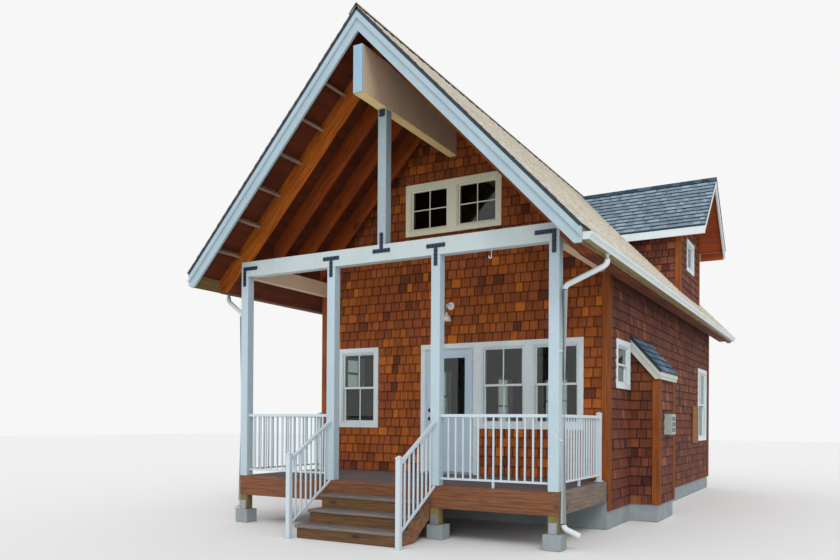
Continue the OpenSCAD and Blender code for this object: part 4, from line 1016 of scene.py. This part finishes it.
# Boards that close the rafter feet from below
soffit = {"thick": 0.012, "bend": 2.742, "low": 3.4445, "edge": 2.896, "lap": 0.006, "start": 0.002}
rafterUnder = (cabin["rafterPeak"] - roofPeak) * run
nearDown, farDown = ((x - rafterUnder * rise) / run for x in (deckHalf + soffit["thick"], soffit["bend"]))
soffitStart = postFace + soffit["start"]
bm = newMesh()
for s, name in ((-1, "left"), (1, "right")):
    addBoard(bm, (soffitStart, nearDown, rafterUnder - soffit["thick"]),
             (cabin["backFace"], farDown, rafterUnder), slopes[name])
    addBoard(bm, (s * (soffit["bend"] - soffit["lap"]), soffitStart, soffit["low"] - soffit["thick"]),
             (s * soffit["edge"], cabin["backFace"], soffit["low"]))
addPiece("soffit_boards", bm, "plywood", edge=0.001)

# Closet roof boards, and under their edge an upper strip on a lower board
closetTrim = {"strip": 0.086, "board": 0.114, "thick": 0.022, "step": 0.012, "out": 2.958, "foot": 2.175,
              "eaveStrip": 0.060, "eaveLap": 0.020, "end": 0.001}
step, outEdge = closetTrim["step"], closetTrim["out"]
plate = cabin["closetThick"] * closetRun
stripFoot = closetEaveHigh - edging["closetDrop"] - closetTrim["eaveStrip"]
bm = newMesh()
addBoard(bm, (closetEnds[0], 0.0, -plate), (closetEnds[1], closetDown, 0.0), slopes["closet"])
trimAway(bm, (cabin["closetEave"], 0, 0), (1, 0, 0))
trimAway(bm, (sideFace, 0, 0), (-1, 0, 0))
addPiece("closet_roof_boards", bm, "edgeMetal", "closet_roof")
bm = newMesh()
for near, into in ((closetEnds[0], 1), (closetEnds[1], -1)):
    for top, high, back, foot in ((0.0, closetTrim["strip"], 0.0, stripFoot),
                                  (closetTrim["strip"], closetTrim["board"], step, closetTrim["foot"])):
        part, y = newMesh(), near + into * back
        addBoard(part, (y, -0.3, -plate - (top + high) * closetRun),
                 (y + into * closetTrim["thick"], 1.0, -plate - top * closetRun), slopes["closet"])
        for point, away in (((outEdge - back, 0, 0), (1, 0, 0)), ((sideFace, 0, 0), (-1, 0, 0)),
                            ((0, 0, foot), (0, 0, -1))):
            trimAway(part, point, away)
        joinInto(bm, part)
for out, low, high in ((outEdge, stripFoot, closetEaveHigh - closetTrim["eaveLap"]),
                       (outEdge - step, closetTrim["foot"], stripFoot)):
    addBoard(bm, (out - closetTrim["thick"], closetEnds[0] + step + closetTrim["end"], low),
             (out, closetEnds[1] - step - closetTrim["end"], high))
addPiece("closet_trim_boards", bm, "closetPaint", "closet_trim", edge=0.002)

# Steel straps with rows of bolt heads
straps = {"thick": 0.006, "wide": 0.052, "length": 0.270, "leg": 0.140, "under": 0.020, "boltWide": 0.018,
          "boltHigh": 0.014, "washerWide": 0.029, "washerHigh": 0.003, "legFirst": 0.035, "pitch": 0.052,
          "legEnd": 0.015, "rowPitch": 4.9, "cornerPitch": 5.2, "cornerIn": 0.040, "kingUp": 0.020,
          "kingFirst": 0.055, "kingLeg": 0.150, "topHalf": 0.038, "topHigh": 0.100}
strapFace = postFace - straps["thick"]


def boltRow(bm, points):
    for x, z in points:
        addRod(bm, (x, postFace - 0.0005, z), (x, strapFace - straps["washerHigh"], z), straps["washerWide"], 14)
        addRod(bm, (x, strapFace, z), (x, strapFace - straps["boltHigh"], z), straps["boltWide"], 6)


def strap(bm, x0, x1, z0, z1):
    addBoard(bm, (x0, strapFace, z0), (x1, postFace, z1))


bm = newMesh()
long, wide = straps["length"], straps["wide"]
armFoot = (beamFoot + beamTop) / 2 - straps["under"]
legFoot, armTop, armMiddle = beamFoot - straps["leg"], armFoot + wide, armFoot + wide / 2
legPlaces = [armFoot - straps["legFirst"] - straps["pitch"] * i for i in range(4)]
legPlaces = [z for z in legPlaces if z > legFoot + straps["legEnd"]]
for x in (-innerPost, innerPost):
    strap(bm, x - long / 2, x + long / 2, armFoot, armTop)
    strap(bm, x - wide / 2, x + wide / 2, legFoot, armFoot)
    boltRow(bm, [(x + long * (i - 2) / straps["rowPitch"], armMiddle) for i in range(5)])
    boltRow(bm, [(x, z) for z in legPlaces])
for s in (-1, 1):
    edge = deckHalf - straps["cornerIn"]
    strap(bm, s * (edge - long), s * edge, armFoot, armTop)
    strap(bm, s * (edge - wide), s * edge, legFoot, armFoot)
    boltRow(bm, [(s * (edge - wide / 2 - long * i / straps["cornerPitch"]), armMiddle) for i in range(5)])
    boltRow(bm, [(s * (edge - wide / 2), z) for z in legPlaces])
up = straps["kingUp"]
strap(bm, -long / 2, long / 2, armFoot + up, armTop + up)
strap(bm, -wide / 2, wide / 2, armTop + up, beamTop + straps["kingLeg"])
boltRow(bm, [(long * (i - 2) / straps["rowPitch"], armMiddle + up) for i in range(5)])
boltRow(bm, [(0, armTop + straps["kingFirst"] + straps["pitch"] * i) for i in range(4)])
strap(bm, -straps["topHalf"], straps["topHalf"], ridgeLow.z - straps["topHigh"], ridgeLow.z)
boltRow(bm, [(x, ridgeLow.z - z) for x in (-0.018, 0.018) for z in (0.028, 0.072)])
addPiece("straps_bolted", bm, "blackSteel", "steel_straps", edge=0.001)
print("posts, beams and straps made")

# porch floor
deck = {"boardWide": 0.138, "gap": 0.006, "rimFoot": 0.403, "rimThick": 0.038, "joists": 11, "joistUp": 0.05,
        "stubFoot": 0.196, "seams": (-1.2, 0.0, 1.2), "seamShift": 0.1, "seamHalf": 0.001}
draw = random.Random(71)
rimFoot, thick = deck["rimFoot"], deck["rimThick"]
rimBack, inside, boardFoot = postFace + thick, deckHalf - thick, deckTop - thick
boards = [((-deckHalf, postFace, rimFoot), (deckHalf, rimBack, deckTop), 0.75),
          ((-inside, frontFace - thick, rimFoot), (inside, frontFace, boardFoot), 0.4)]
for i in range(1, deck["joists"] + 1):
    x = -deckHalf + i * 2 * deckHalf / (deck["joists"] + 1)
    boards.append(((x - thick / 2, rimBack, rimFoot + deck["joistUp"]),
                   (x + thick / 2, frontFace - thick, boardFoot), draw.uniform(0.2, 0.6)))
boardPiece("deck_rim_timber", boards, "deckRim", "deck_frame")
boardPiece("deck_rim_sides", [((s * deckHalf, rimBack, rimFoot), (s * inside, frontFace, deckTop), 0.6)
                              for s in (-1, 1)], "deckRimGrey")
boardPiece("stub_posts_timber", [
    ((x - postSide / 2, postFace, deck["stubFoot"]), (x + postSide / 2, postBack, rimFoot), draw.random())
    for x in postPlaces], "stubTimber", edge=0.004)

boards = []
rows = round((frontFace - rimBack) / (deck["boardWide"] + deck["gap"]))
pitch = (frontFace - rimBack) / rows
for i in range(rows):
    seam = draw.choice(deck["seams"]) + draw.uniform(-deck["seamShift"], deck["seamShift"])
    near, far = rimBack + i * pitch + deck["gap"] / 2, rimBack + (i + 1) * pitch - deck["gap"] / 2
    for a, b in ((-inside, seam - deck["seamHalf"]), (seam + deck["seamHalf"], inside)):
        boards.append(((a, near, boardFoot), (b, far, deckTop), draw.random()))
boardPiece("deck_boards", boards, "deckBoards", "deck")

# Stair treads of two boards each, and risers behind them
stairs = {"count": 3, "half": 0.775, "step": 0.1725, "run": 0.265, "thick": 0.038, "nosing": 0.025,
          "gapHalf": 0.003, "riserHalf": 0.750, "riserFront": 0.004, "riserBack": 0.010, "ground": 0.004}
treads, risers = [], []
for i in range(1, stairs["count"] + 1):
    front, back = postFace - i * stairs["run"] - stairs["nosing"], postFace - (i - 1) * stairs["run"]
    head, middle = deckTop - i * stairs["step"], (front + back) / 2
    for a, b in ((front, middle - stairs["gapHalf"]), (middle + stairs["gapHalf"], back)):
        treads.append(((-stairs["half"], a, head - stairs["thick"]), (stairs["half"], b, head), draw.random()))
boardPiece("treads_timber", treads, "stairTimber", "stair_treads", 0.005, 2)
for i in range(1, stairs["count"] + 1):
    y, foot = postFace - i * stairs["run"], max(stairs["ground"], deckTop - (i + 1) * stairs["step"])
    risers.append(((-stairs["riserHalf"], y - stairs["riserFront"], foot),
                   (stairs["riserHalf"], y + stairs["riserBack"], deckTop - i * stairs["step"] - stairs["thick"]),
                   draw.uniform(0.4, 1.0)))
boardPiece("risers_timber", risers, "riserTimber", edge=0.002)

# Brackets that hold the short posts, with their fixings
bracket = {"thick": 0.005, "foot": 0.190, "side": 0.015, "head": 0.325, "screwSide": 0.030,
           "screws": (0.235, 0.290), "screwWide": 0.009, "screwHigh": 0.011}
bm = newMesh()
near, far = postFace - bracket["thick"], postBack + bracket["thick"]
for x in postPlaces:
    addBoard(bm, (x - postSide / 2, near, bracket["foot"]), (x + postSide / 2, far, deck["stubFoot"]))
    reach = postSide / 2 - bracket["side"]
    for y0, y1 in ((near, postFace), (postBack, far)):
        addBoard(bm, (x - reach, y0, deck["stubFoot"]), (x + reach, y1, bracket["head"]))
    for dx in (-bracket["screwSide"], bracket["screwSide"]):
        for z in bracket["screws"]:
            addRod(bm, (x + dx, near, z), (x + dx, postFace - bracket["screwHigh"], z), bracket["screwWide"], 6)
addPiece("brackets_galvanised", bm, "galvanised", "pier_brackets", edge=0.001)
print("porch floor and stairs made")

# railings: caps on the posts, and plates with screws at their feet
railing = {"newelY": -3.030, "newelTop": 1.070, "shortY": -0.300, "shortTop": 1.624, "capHalf": 0.035,
           "capUp": 0.010, "capHigh": 0.022, "capTip": 0.012, "plateHalf": 0.052, "plateHigh": 0.010,
           "screwSide": 0.041, "screwWide": 0.007, "screwHigh": 0.016}
bm = newMesh()
for s in (-1, 1):
    for x, y, foot, head in ((s * innerPost, railing["newelY"], 0.0, railing["newelTop"]),
                             (s * outerPost, railing["shortY"], deckTop, railing["shortTop"])):
        place = (Matrix.Translation((x, y, head + railing["capUp"] + railing["capHigh"] / 2))
                 @ Matrix.Rotation(math.pi / 4, 4, "Z"))
        bmesh.ops.create_cone(bm, cap_ends=True, segments=4, radius1=railing["capHalf"] * math.sqrt(2),
                              radius2=railing["capTip"], depth=railing["capHigh"], matrix=place)
        plate = railing["plateHalf"]
        addBoard(bm, (x - plate, y - plate, foot), (x + plate, y + plate, foot + railing["plateHigh"]))
        for dx in (-railing["screwSide"], railing["screwSide"]):
            for dy in (-railing["screwSide"], railing["screwSide"]):
                addRod(bm, (x + dx, y + dy, foot + railing["plateHigh"]),
                       (x + dx, y + dy, foot + railing["screwHigh"]), railing["screwWide"], 6)
addPiece("railing_caps", bm, "railingPaint", edge=0.0015)
print("railing details made")

# gutters and downspouts
gutter = {"foot": 3.4745, "sheet": 0.0025, "start": -2.717, "end": 8.817, "endIn": 0.002, "endThick": 0.004,
          "bracketFirst": 0.3, "bracketPitch": 0.61, "bracketWide": 0.025, "bracketHigh": 0.076,
          "bracketThick": 0.003, "bracketIn": 0.003, "bracketOut": 0.100}
gutterLine = [(0.002, 0.0885), (0.002, 0.0025), (0.068, 0.0025), (0.073, 0.008), (0.076, 0.027), (0.082, 0.039),
              (0.090, 0.048), (0.099, 0.055), (0.105, 0.063), (0.107, 0.074), (0.107, 0.086), (0.103, 0.0885),
              (0.096, 0.0885), (0.095, 0.083)]


def newOnes(geometry, kind):
    return [g for g in geometry if isinstance(g, kind)]


def gutterRun(bm, s):
    # The profile swept along the eave and given its thickness, with a plate at each end
    def point(p, y):
        return (s * (roofHalf + p[0]), y, gutter["foot"] + p[1])

    row = [bm.verts.new(point(p, gutter["start"] + gutter["endIn"])) for p in gutterLine]
    edges = [bm.edges.new(pair) for pair in zip(row, row[1:])]
    swept = bmesh.ops.extrude_edge_only(bm, edges=edges)["geom"]
    bmesh.ops.translate(bm, verts=newOnes(swept, bmesh.types.BMVert),
                        vec=(0, gutter["end"] - gutter["start"] - 2 * gutter["endIn"], 0))
    faces = newOnes(swept, bmesh.types.BMFace)
    bmesh.ops.recalc_face_normals(bm, faces=faces)
    bmesh.ops.solidify(bm, geom=faces, thickness=-s * gutter["sheet"])
    for y, out in ((gutter["start"], 1), (gutter["end"], -1)):
        plate = bm.faces.new([bm.verts.new(point(p, y)) for p in gutterLine[:-3]])
        grown = bmesh.ops.extrude_face_region(bm, geom=[plate])["geom"]
        bmesh.ops.translate(bm, verts=newOnes(grown, bmesh.types.BMVert), vec=(0, out * gutter["endThick"], 0))


bm = newMesh()
bracketFoot = gutter["foot"] + gutter["bracketHigh"]
for s in (-1, 1):
    gutterRun(bm, s)
    y = gutter["start"] + gutter["bracketFirst"]
    while y < gutter["end"]:
        addBoard(bm, (s * (roofHalf + gutter["bracketIn"]), y, bracketFoot),
                 (s * (roofHalf + gutter["bracketOut"]), y + gutter["bracketWide"],
                  bracketFoot + gutter["bracketThick"]))
        y += gutter["bracketPitch"]
# The gutters' undersides carry painted shade
addPiece("gutters_white", bm, "gutterShadedBelow", "gutters")


def roundedPath(points, bend, steps=8):
    # Replaces each corner of a flat path with an arc
    path = [Vector(points[0])]
    for a, b, c in zip(points, points[1:], points[2:]):
        a, b, c = Vector(a), Vector(b), Vector(c)
        into, out = (b - a).normalized(), (c - b).normalized()
        reach = bend * math.tan(into.angle(out) / 2)
        start, end = b - into * reach, b + out * reach
        for i in range(steps + 1):
            t = i / steps
            path.append(start.lerp(b, t).lerp(b.lerp(end, t), t))
    path.append(Vector(points[-1]))
    return path


def addPipe(bm, path, radius, sides, closed=True):
    # A round pipe along a path of 3-D points: a ring that is extruded from point to point
    ring = bmesh.ops.create_circle(bm, cap_ends=False, segments=sides, radius=radius)["verts"]
    edges = list({e for v in ring for e in v.link_edges})
    first = edges[:]
    before = Matrix.Identity(4)
    for i, point in enumerate(path):
        ahead = (path[min(i + 1, len(path) - 1)] - path[max(i - 1, 0)]).normalized()
        place = Matrix.Translation(point) @ ahead.to_track_quat("Z", "X").to_matrix().to_4x4()
        if i:
            grown = bmesh.ops.extrude_edge_only(bm, edges=edges)["geom"]
            ring = newOnes(grown, bmesh.types.BMVert)
            edges = [e for e in newOnes(grown, bmesh.types.BMEdge) if all(v in ring for v in e.verts)]
        for v in ring:
            v.co = place @ (before.inverted() @ v.co)
        before = place
    for rim in (first, edges) if closed else (first,):
        bmesh.ops.holes_fill(bm, edges=rim, sides=0)


# Bent hook under the front beam
hook = {"x": 1.575, "y": postFace + postSide / 2, "radius": 0.006, "bend": 0.012, "plate": 0.016, "plateHigh": 0.004,
        "line": [(0.0, beamFoot + 0.002), (0.0, 3.540), (-0.030, 3.534), (-0.034, 3.566)]}
bm = newMesh()
addPipe(bm, [Vector((hook["x"] + p.x, hook["y"], p.y)) for p in roundedPath(hook["line"], hook["bend"], 4)],
        hook["radius"], 10)
addRod(bm, (hook["x"], hook["y"], beamFoot), (hook["x"], hook["y"], beamFoot - hook["plateHigh"]), hook["plate"])
addPiece("beam_hook", bm, "gutterEnamel", smooth=True)

spout = {"x": 2.5196, "y": -2.095, "turn": math.radians(22.37), "radius": 0.0335, "bend": 0.085, "sides": 20,
         "line": [(0.486, 3.480), (0.486, 3.3545), (0.0, 3.1115), (0.0, 0.265), (0.190, 0.178)],
         "clips": (1.30, 2.35), "clipWide": 0.040, "clipHigh": 0.012, "clipThick": 0.015}
bm = newMesh()
ahead, aside = math.cos(spout["turn"]), math.sin(spout["turn"])
for s in (-1, 1):
    addPipe(bm, [Vector((s * (spout["x"] + p.x * ahead), spout["y"] + p.x * aside, p.y))
                 for p in roundedPath(spout["line"], spout["bend"])], spout["radius"], spout["sides"])
    for z in spout["clips"]:
        addBoard(bm, (s * deckHalf, spout["y"] - spout["clipWide"], z - spout["clipHigh"]),
                 (s * (deckHalf + spout["clipThick"]), spout["y"] + spout["clipWide"], z + spout["clipHigh"]))
addPiece("downspouts_white", bm, "gutterEnamel", "downspouts", smooth=True)
print("gutters and downspouts made")

# front door: glazing beads outside and inside, two panels with mouldings, then its knuckles, lever and lock
door = {"glass": (-0.327, 0.247, 1.567, 2.517), "beadOut": 0.022, "beadIn": 0.010,
        "beads": ((-0.007, 0.020), (0.025, 0.051)),
        "panels": ((-0.318, -0.058), (-0.022, 0.238)), "panelFoot": 0.93, "panelHead": 1.44,
        "moulding": 0.016, "mouldingProud": 0.005, "fieldIn": 0.040, "fieldProud": 0.003, "edge": 0.0025}
bm = nodeCopy("door_leaf")
roundEdges(bm, 0.002)
left, right, bottom, top = door["glass"]
out, into = door["beadOut"], door["beadIn"]
for a, b, c, d in ((left - out, left + into, bottom - out, top + out),
                   (right - into, right + out, bottom - out, top + out),
                   (left + into, right - into, top - into, top + out),
                   (left + into, right - into, bottom - out, bottom + into)):
    for front, back in door["beads"]:
        addBoard(bm, (a, frontFace + front, c), (b, frontFace + back, d))
foot, head, wide = door["panelFoot"], door["panelHead"], door["moulding"]
for a, b in door["panels"]:
    inset = door["fieldIn"]
    for x0, x1, z0, z1, proud in ((a, a + wide, foot, head, door["mouldingProud"]),
                                  (b - wide, b, foot, head, door["mouldingProud"]),
                                  (a + wide, b - wide, head - wide, head, door["mouldingProud"]),
                                  (a + wide, b - wide, foot, foot + wide, door["mouldingProud"]),
                                  (a + inset, b - inset, foot + inset, head - inset, door["fieldProud"])):
        made = addBoard(bm, (x0, frontFace - proud, z0), (x1, frontFace + 0.003, z1))
        bevelEdges(bm, list({e for v in made for e in v.link_edges}), door["edge"])
addPiece("door_leaf_painted", bm, "doorPaint", "door_leaf", "door")

knuckle = {"x": 0.370, "y": -0.112, "heights": (0.940, 1.6825, 2.425), "half": 0.014, "radius": 0.008,
           "wide": 0.015}
bm = newMesh()
for z in knuckle["heights"]:
    low, high = z - knuckle["half"], z + knuckle["half"]
    addRod(bm, (knuckle["x"], knuckle["y"], low), (knuckle["x"], knuckle["y"], high), knuckle["radius"], 20)
    addBoard(bm, (knuckle["x"] - knuckle["wide"], knuckle["y"], low), (knuckle["x"] - 0.001, frontFace, high))
addPiece("hinge_knuckles", bm, "hingeSteel", body="door", smooth=True)

# each rod of the lock has a height, where it starts and ends in front of the leaf, its radii and its sides
lock = {"x": -0.385, "lever": 1.555, "bolt": 1.690, "pipe": 0.0085, "leverIn": 0.008, "keyHalf": (0.002, 0.006),
        "keyOut": (0.0215, 0.019), "line": [(0.0, -0.044), (0.030, -0.050), (0.108, -0.047)]}
lock["rods"] = [(lock["bolt"], -0.001, 0.010, 0.030, 0.030, 28), (lock["bolt"], 0.010, 0.020, 0.024, 0.020, 28),
                (lock["lever"], -0.001, 0.010, 0.030, 0.030, 28), (lock["lever"], 0.010, 0.050, 0.012, 0.010, 20)]
bm = newMesh()
for z, start, end, radius, endRadius, sides in lock["rods"]:
    addRod(bm, (lock["x"], frontFace - start, z), (lock["x"], frontFace - end, z), radius, sides, endRadius)
keyWide, keyHigh = lock["keyHalf"]
addBoard(bm, (lock["x"] - keyWide, frontFace - lock["keyOut"][0], lock["bolt"] - keyHigh),
         (lock["x"] + keyWide, frontFace - lock["keyOut"][1], lock["bolt"] + keyHigh))
addPipe(bm, [Vector((lock["x"] - lock["leverIn"] + p.x, frontFace + p.y, lock["lever"]))
             for p in roundedPath(lock["line"], 0.02, 5)], lock["pipe"], 14)
roundEdges(bm, 0.0012, 1, 40)
addPiece("door_lever_and_lock", bm, "lockBlack", "door_hardware", "door", smooth=True)

threshold = {"left": -0.480, "right": 0.400, "plate": (-0.160, -0.058, 0.716), "ridge": (-0.120, -0.104, 0.721)}
boardPiece("door_sill", [((threshold["left"], near, foot), (threshold["right"], far, head))
                         for foot, (near, far, head) in ((deckTop, threshold["plate"]),
                                                         (threshold["plate"][2], threshold["ridge"]))],
           "galvanised")
print("front door made")

# wall lamp: a spun shade on a bent arm
lamp = {"x": -0.010, "z": 3.320, "arm": 0.160, "rod": 0.120, "armRadius": 0.0100, "bend": 0.03,
        "shade": [(0.0001, 0.002), (0.018, 0.000), (0.020, -0.028), (0.030, -0.040), (0.052, -0.056),
                  (0.068, -0.088), (0.077, -0.126), (0.077, -0.130), (0.073, -0.126), (0.064, -0.090),
                  (0.048, -0.061), (0.028, -0.046), (0.0001, -0.043)]}
lamp["line"] = [(0.018, lamp["z"]), (0.110, lamp["z"] + 0.012), (lamp["arm"], lamp["z"] + 0.004),
                (lamp["arm"], lamp["z"] - lamp["rod"] - 0.030)]
bm = newMesh()
lampX, lampZ, shadeY, shadeZ = lamp["x"], lamp["z"], frontFace - lamp["arm"], lamp["z"] - lamp["rod"]
for start, end, radius, endRadius in ((-0.001, 0.018, 0.060, 0.060), (0.018, 0.024, 0.050, 0.030)):
    addRod(bm, (lampX, frontFace - start, lampZ), (lampX, frontFace - end, lampZ), radius, 32, endRadius)
addPipe(bm, [Vector((lampX, frontFace - p.x, p.y)) for p in roundedPath(lamp["line"], lamp["bend"], 6)],
        lamp["armRadius"], 14, closed=False)
row = [bm.verts.new((lampX + r, shadeY, shadeZ + z)) for r, z in lamp["shade"]]
edges = [bm.edges.new(pair) for pair in zip(row, row[1:])]
bmesh.ops.spin(bm, geom=row + edges, cent=(lampX, shadeY, 0), axis=(0, 0, 1), angle=math.tau, steps=36,
               use_merge=True)
bmesh.ops.remove_doubles(bm, verts=bm.verts, dist=0.0003)
addPiece("lamp_white", bm, "lampEnamel", "porch_lamp", smooth=True)

# meter box on the closet: its body, cover, hinge pins and latch, then the dark panes
meter = {"cover": 0.012, "coverLap": 0.002, "coverIn": 0.006, "pinIn": 0.06, "pinHalf": 0.02, "pinOut": 0.004,
         "pinWide": 0.006, "latch": (0.045, 0.025, 0.14, 0.18), "latchDeep": 0.002, "latchOut": 0.006,
         "columns": 2, "rows": 3, "paneWide": 0.090, "paneHigh": 0.066, "pitchWide": 0.130, "pitchHigh": 0.086,
         "paneDeep": 0.004, "paneOut": 0.003}
low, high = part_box("meter_box")
inset = meter["coverIn"]
bm = newMesh()
addBoard(bm, low, (high.x - meter["cover"], high.y, high.z))
addBoard(bm, (high.x - meter["cover"] - meter["coverLap"], low.y + inset, low.z + inset),
         (high.x, high.y - inset, high.z - inset))
pinX, pinY = high.x - inset, low.y - meter["pinOut"]
for z in (low.z + meter["pinIn"], high.z - meter["pinIn"]):
    addRod(bm, (pinX, pinY, z - meter["pinHalf"]), (pinX, pinY, z + meter["pinHalf"]), meter["pinWide"], 12)
near, far, foot, head = meter["latch"]
addBoard(bm, (high.x - meter["latchDeep"], high.y - near, low.z + foot),
         (high.x + meter["latchOut"], high.y - far, low.z + head))
addPiece("meter_box_grey", bm, "meterEnamel", "meter_box", edge=0.003, smooth=True)
panes = []
for column in range(meter["columns"]):
    for row in range(meter["rows"]):
        y = (low.y + high.y) / 2 + (column - (meter["columns"] - 1) / 2) * meter["pitchWide"]
        z = (low.z + high.z) / 2 + (row - (meter["rows"] - 1) / 2) * meter["pitchHigh"]
        panes.append(((high.x - meter["paneDeep"], y - meter["paneWide"] / 2, z - meter["paneHigh"] / 2),
                      (high.x + meter["paneOut"], y + meter["paneWide"] / 2, z + meter["paneHigh"] / 2)))
boardPiece("meter_panes_dark", panes, "lockBlack", edge=0.0015)

# Boarded panel on the side wall, beside the last window, on two battens
panel = {"near": 6.22, "far": 6.88, "foot": 1.09, "head": 1.88, "boards": 5, "gapHalf": 0.002, "thick": 0.024,
         "batten": 0.08, "battenThick": 0.018, "battenIn": 0.02}
bm = newMesh()
draw = random.Random(81)
wide, batten, behind = (panel["far"] - panel["near"]) / panel["boards"], panel["batten"], panel["battenThick"]
for i in range(panel["boards"]):
    near = panel["near"] + i * wide
    wallBoard(bm, walls["right"], (near + panel["gapHalf"], near + wide - panel["gapHalf"]),
              (panel["foot"], panel["head"]), (behind, behind + panel["thick"]), draw.random())
for z in (panel["foot"] + batten, panel["head"] - 2 * batten):
    wallBoard(bm, walls["right"], (panel["near"] + panel["battenIn"], panel["far"] - panel["battenIn"]),
              (z, z + batten), (0.0, behind))
addPiece("wall_panel", bm, "wallPanel", edge=0.003)
print("lamp, meter box and wall panel made")

# camera, floor and light
view = {"place": (5.452, -10.655, 1.502), "turn": 29.72, "pitch": 0.19, "roll": 0.371,
        "lens": 32.445, "sensor": 36, "shiftX": 0.0006, "shiftY": 0.1660, "farthest": 200}
camera = bpy.data.cameras.new("camera")
camera.lens, camera.sensor_width, camera.clip_end = view["lens"], view["sensor"], view["farthest"]
camera.shift_x, camera.shift_y = view["shiftX"], view["shiftY"]
viewer = bpy.data.objects.new("camera", camera)
viewer.matrix_world = (Matrix.Translation(view["place"]) @ Matrix.Rotation(math.radians(view["turn"]), 4, "Z")
                       @ Matrix.Rotation(math.radians(90 + view["pitch"]), 4, "X")
                       @ Matrix.Rotation(math.radians(view["roll"]), 4, "Z"))
scene.collection.objects.link(viewer)
scene.camera = viewer

# each lamp has its strength, its size in degrees and where it shines from
studio = {"floorHalf": 60.0, "floorPlace": (0, 3, -0.002), "floorGrey": 0.83, "skyLight": 0.84, "skySeen": 0.93,
          "lamps": {"sun": (0.90, 24, (0.42, -0.60, 0.66)), "front_fill": (0.50, 30, (0.30, -1.0, 0.10))}}
bm = newMesh()
bmesh.ops.create_grid(bm, x_segments=1, y_segments=1, size=studio["floorHalf"])
floorMesh = bpy.data.meshes.new("floor_stage")
bm.to_mesh(floorMesh)
bm.free()
_, shader = startFinish("floorPale", 0.9, specular=0.1)
shader.inputs["Base Color"].default_value = (studio["floorGrey"],) * 3 + (1,)
floorMesh.materials.append(finishes["floorPale"])
floorObject = bpy.data.objects.new("floor_stage", floorMesh)
floorObject.location = studio["floorPlace"]
scene.collection.objects.link(floorObject)

# The sky is a little brighter where it is seen, also in glass and metal, than where it lights the cabin
world = bpy.data.worlds.new("studio")
world.use_nodes = True
scene.world = world
tree = world.node_tree
rays = tree.nodes.new("ShaderNodeLightPath").outputs
seen = calc(tree, "MAXIMUM", rays["Is Camera Ray"],
            calc(tree, "MAXIMUM", rays["Is Glossy Ray"], rays["Is Transmission Ray"]))
extra = calc(tree, "MULTIPLY", seen, studio["skySeen"] - studio["skyLight"])
strength = calc(tree, "ADD", extra, studio["skyLight"])
background = tree.nodes["Background"]
background.inputs["Color"].default_value = (1, 1, 1, 1)
tree.links.new(strength, background.inputs["Strength"])

for name, (strength, size, source) in studio["lamps"].items():
    light = bpy.data.lights.new(name, "SUN")
    light.energy = strength
    light.angle = math.radians(size)
    lightObject = bpy.data.objects.new(name, light)
    lightObject.matrix_world = Vector(source).to_track_quat("Z", "Y").to_matrix().to_4x4()
    scene.collection.objects.link(lightObject)

scene.view_settings.view_transform = "Standard"
print("camera, floor and light set")
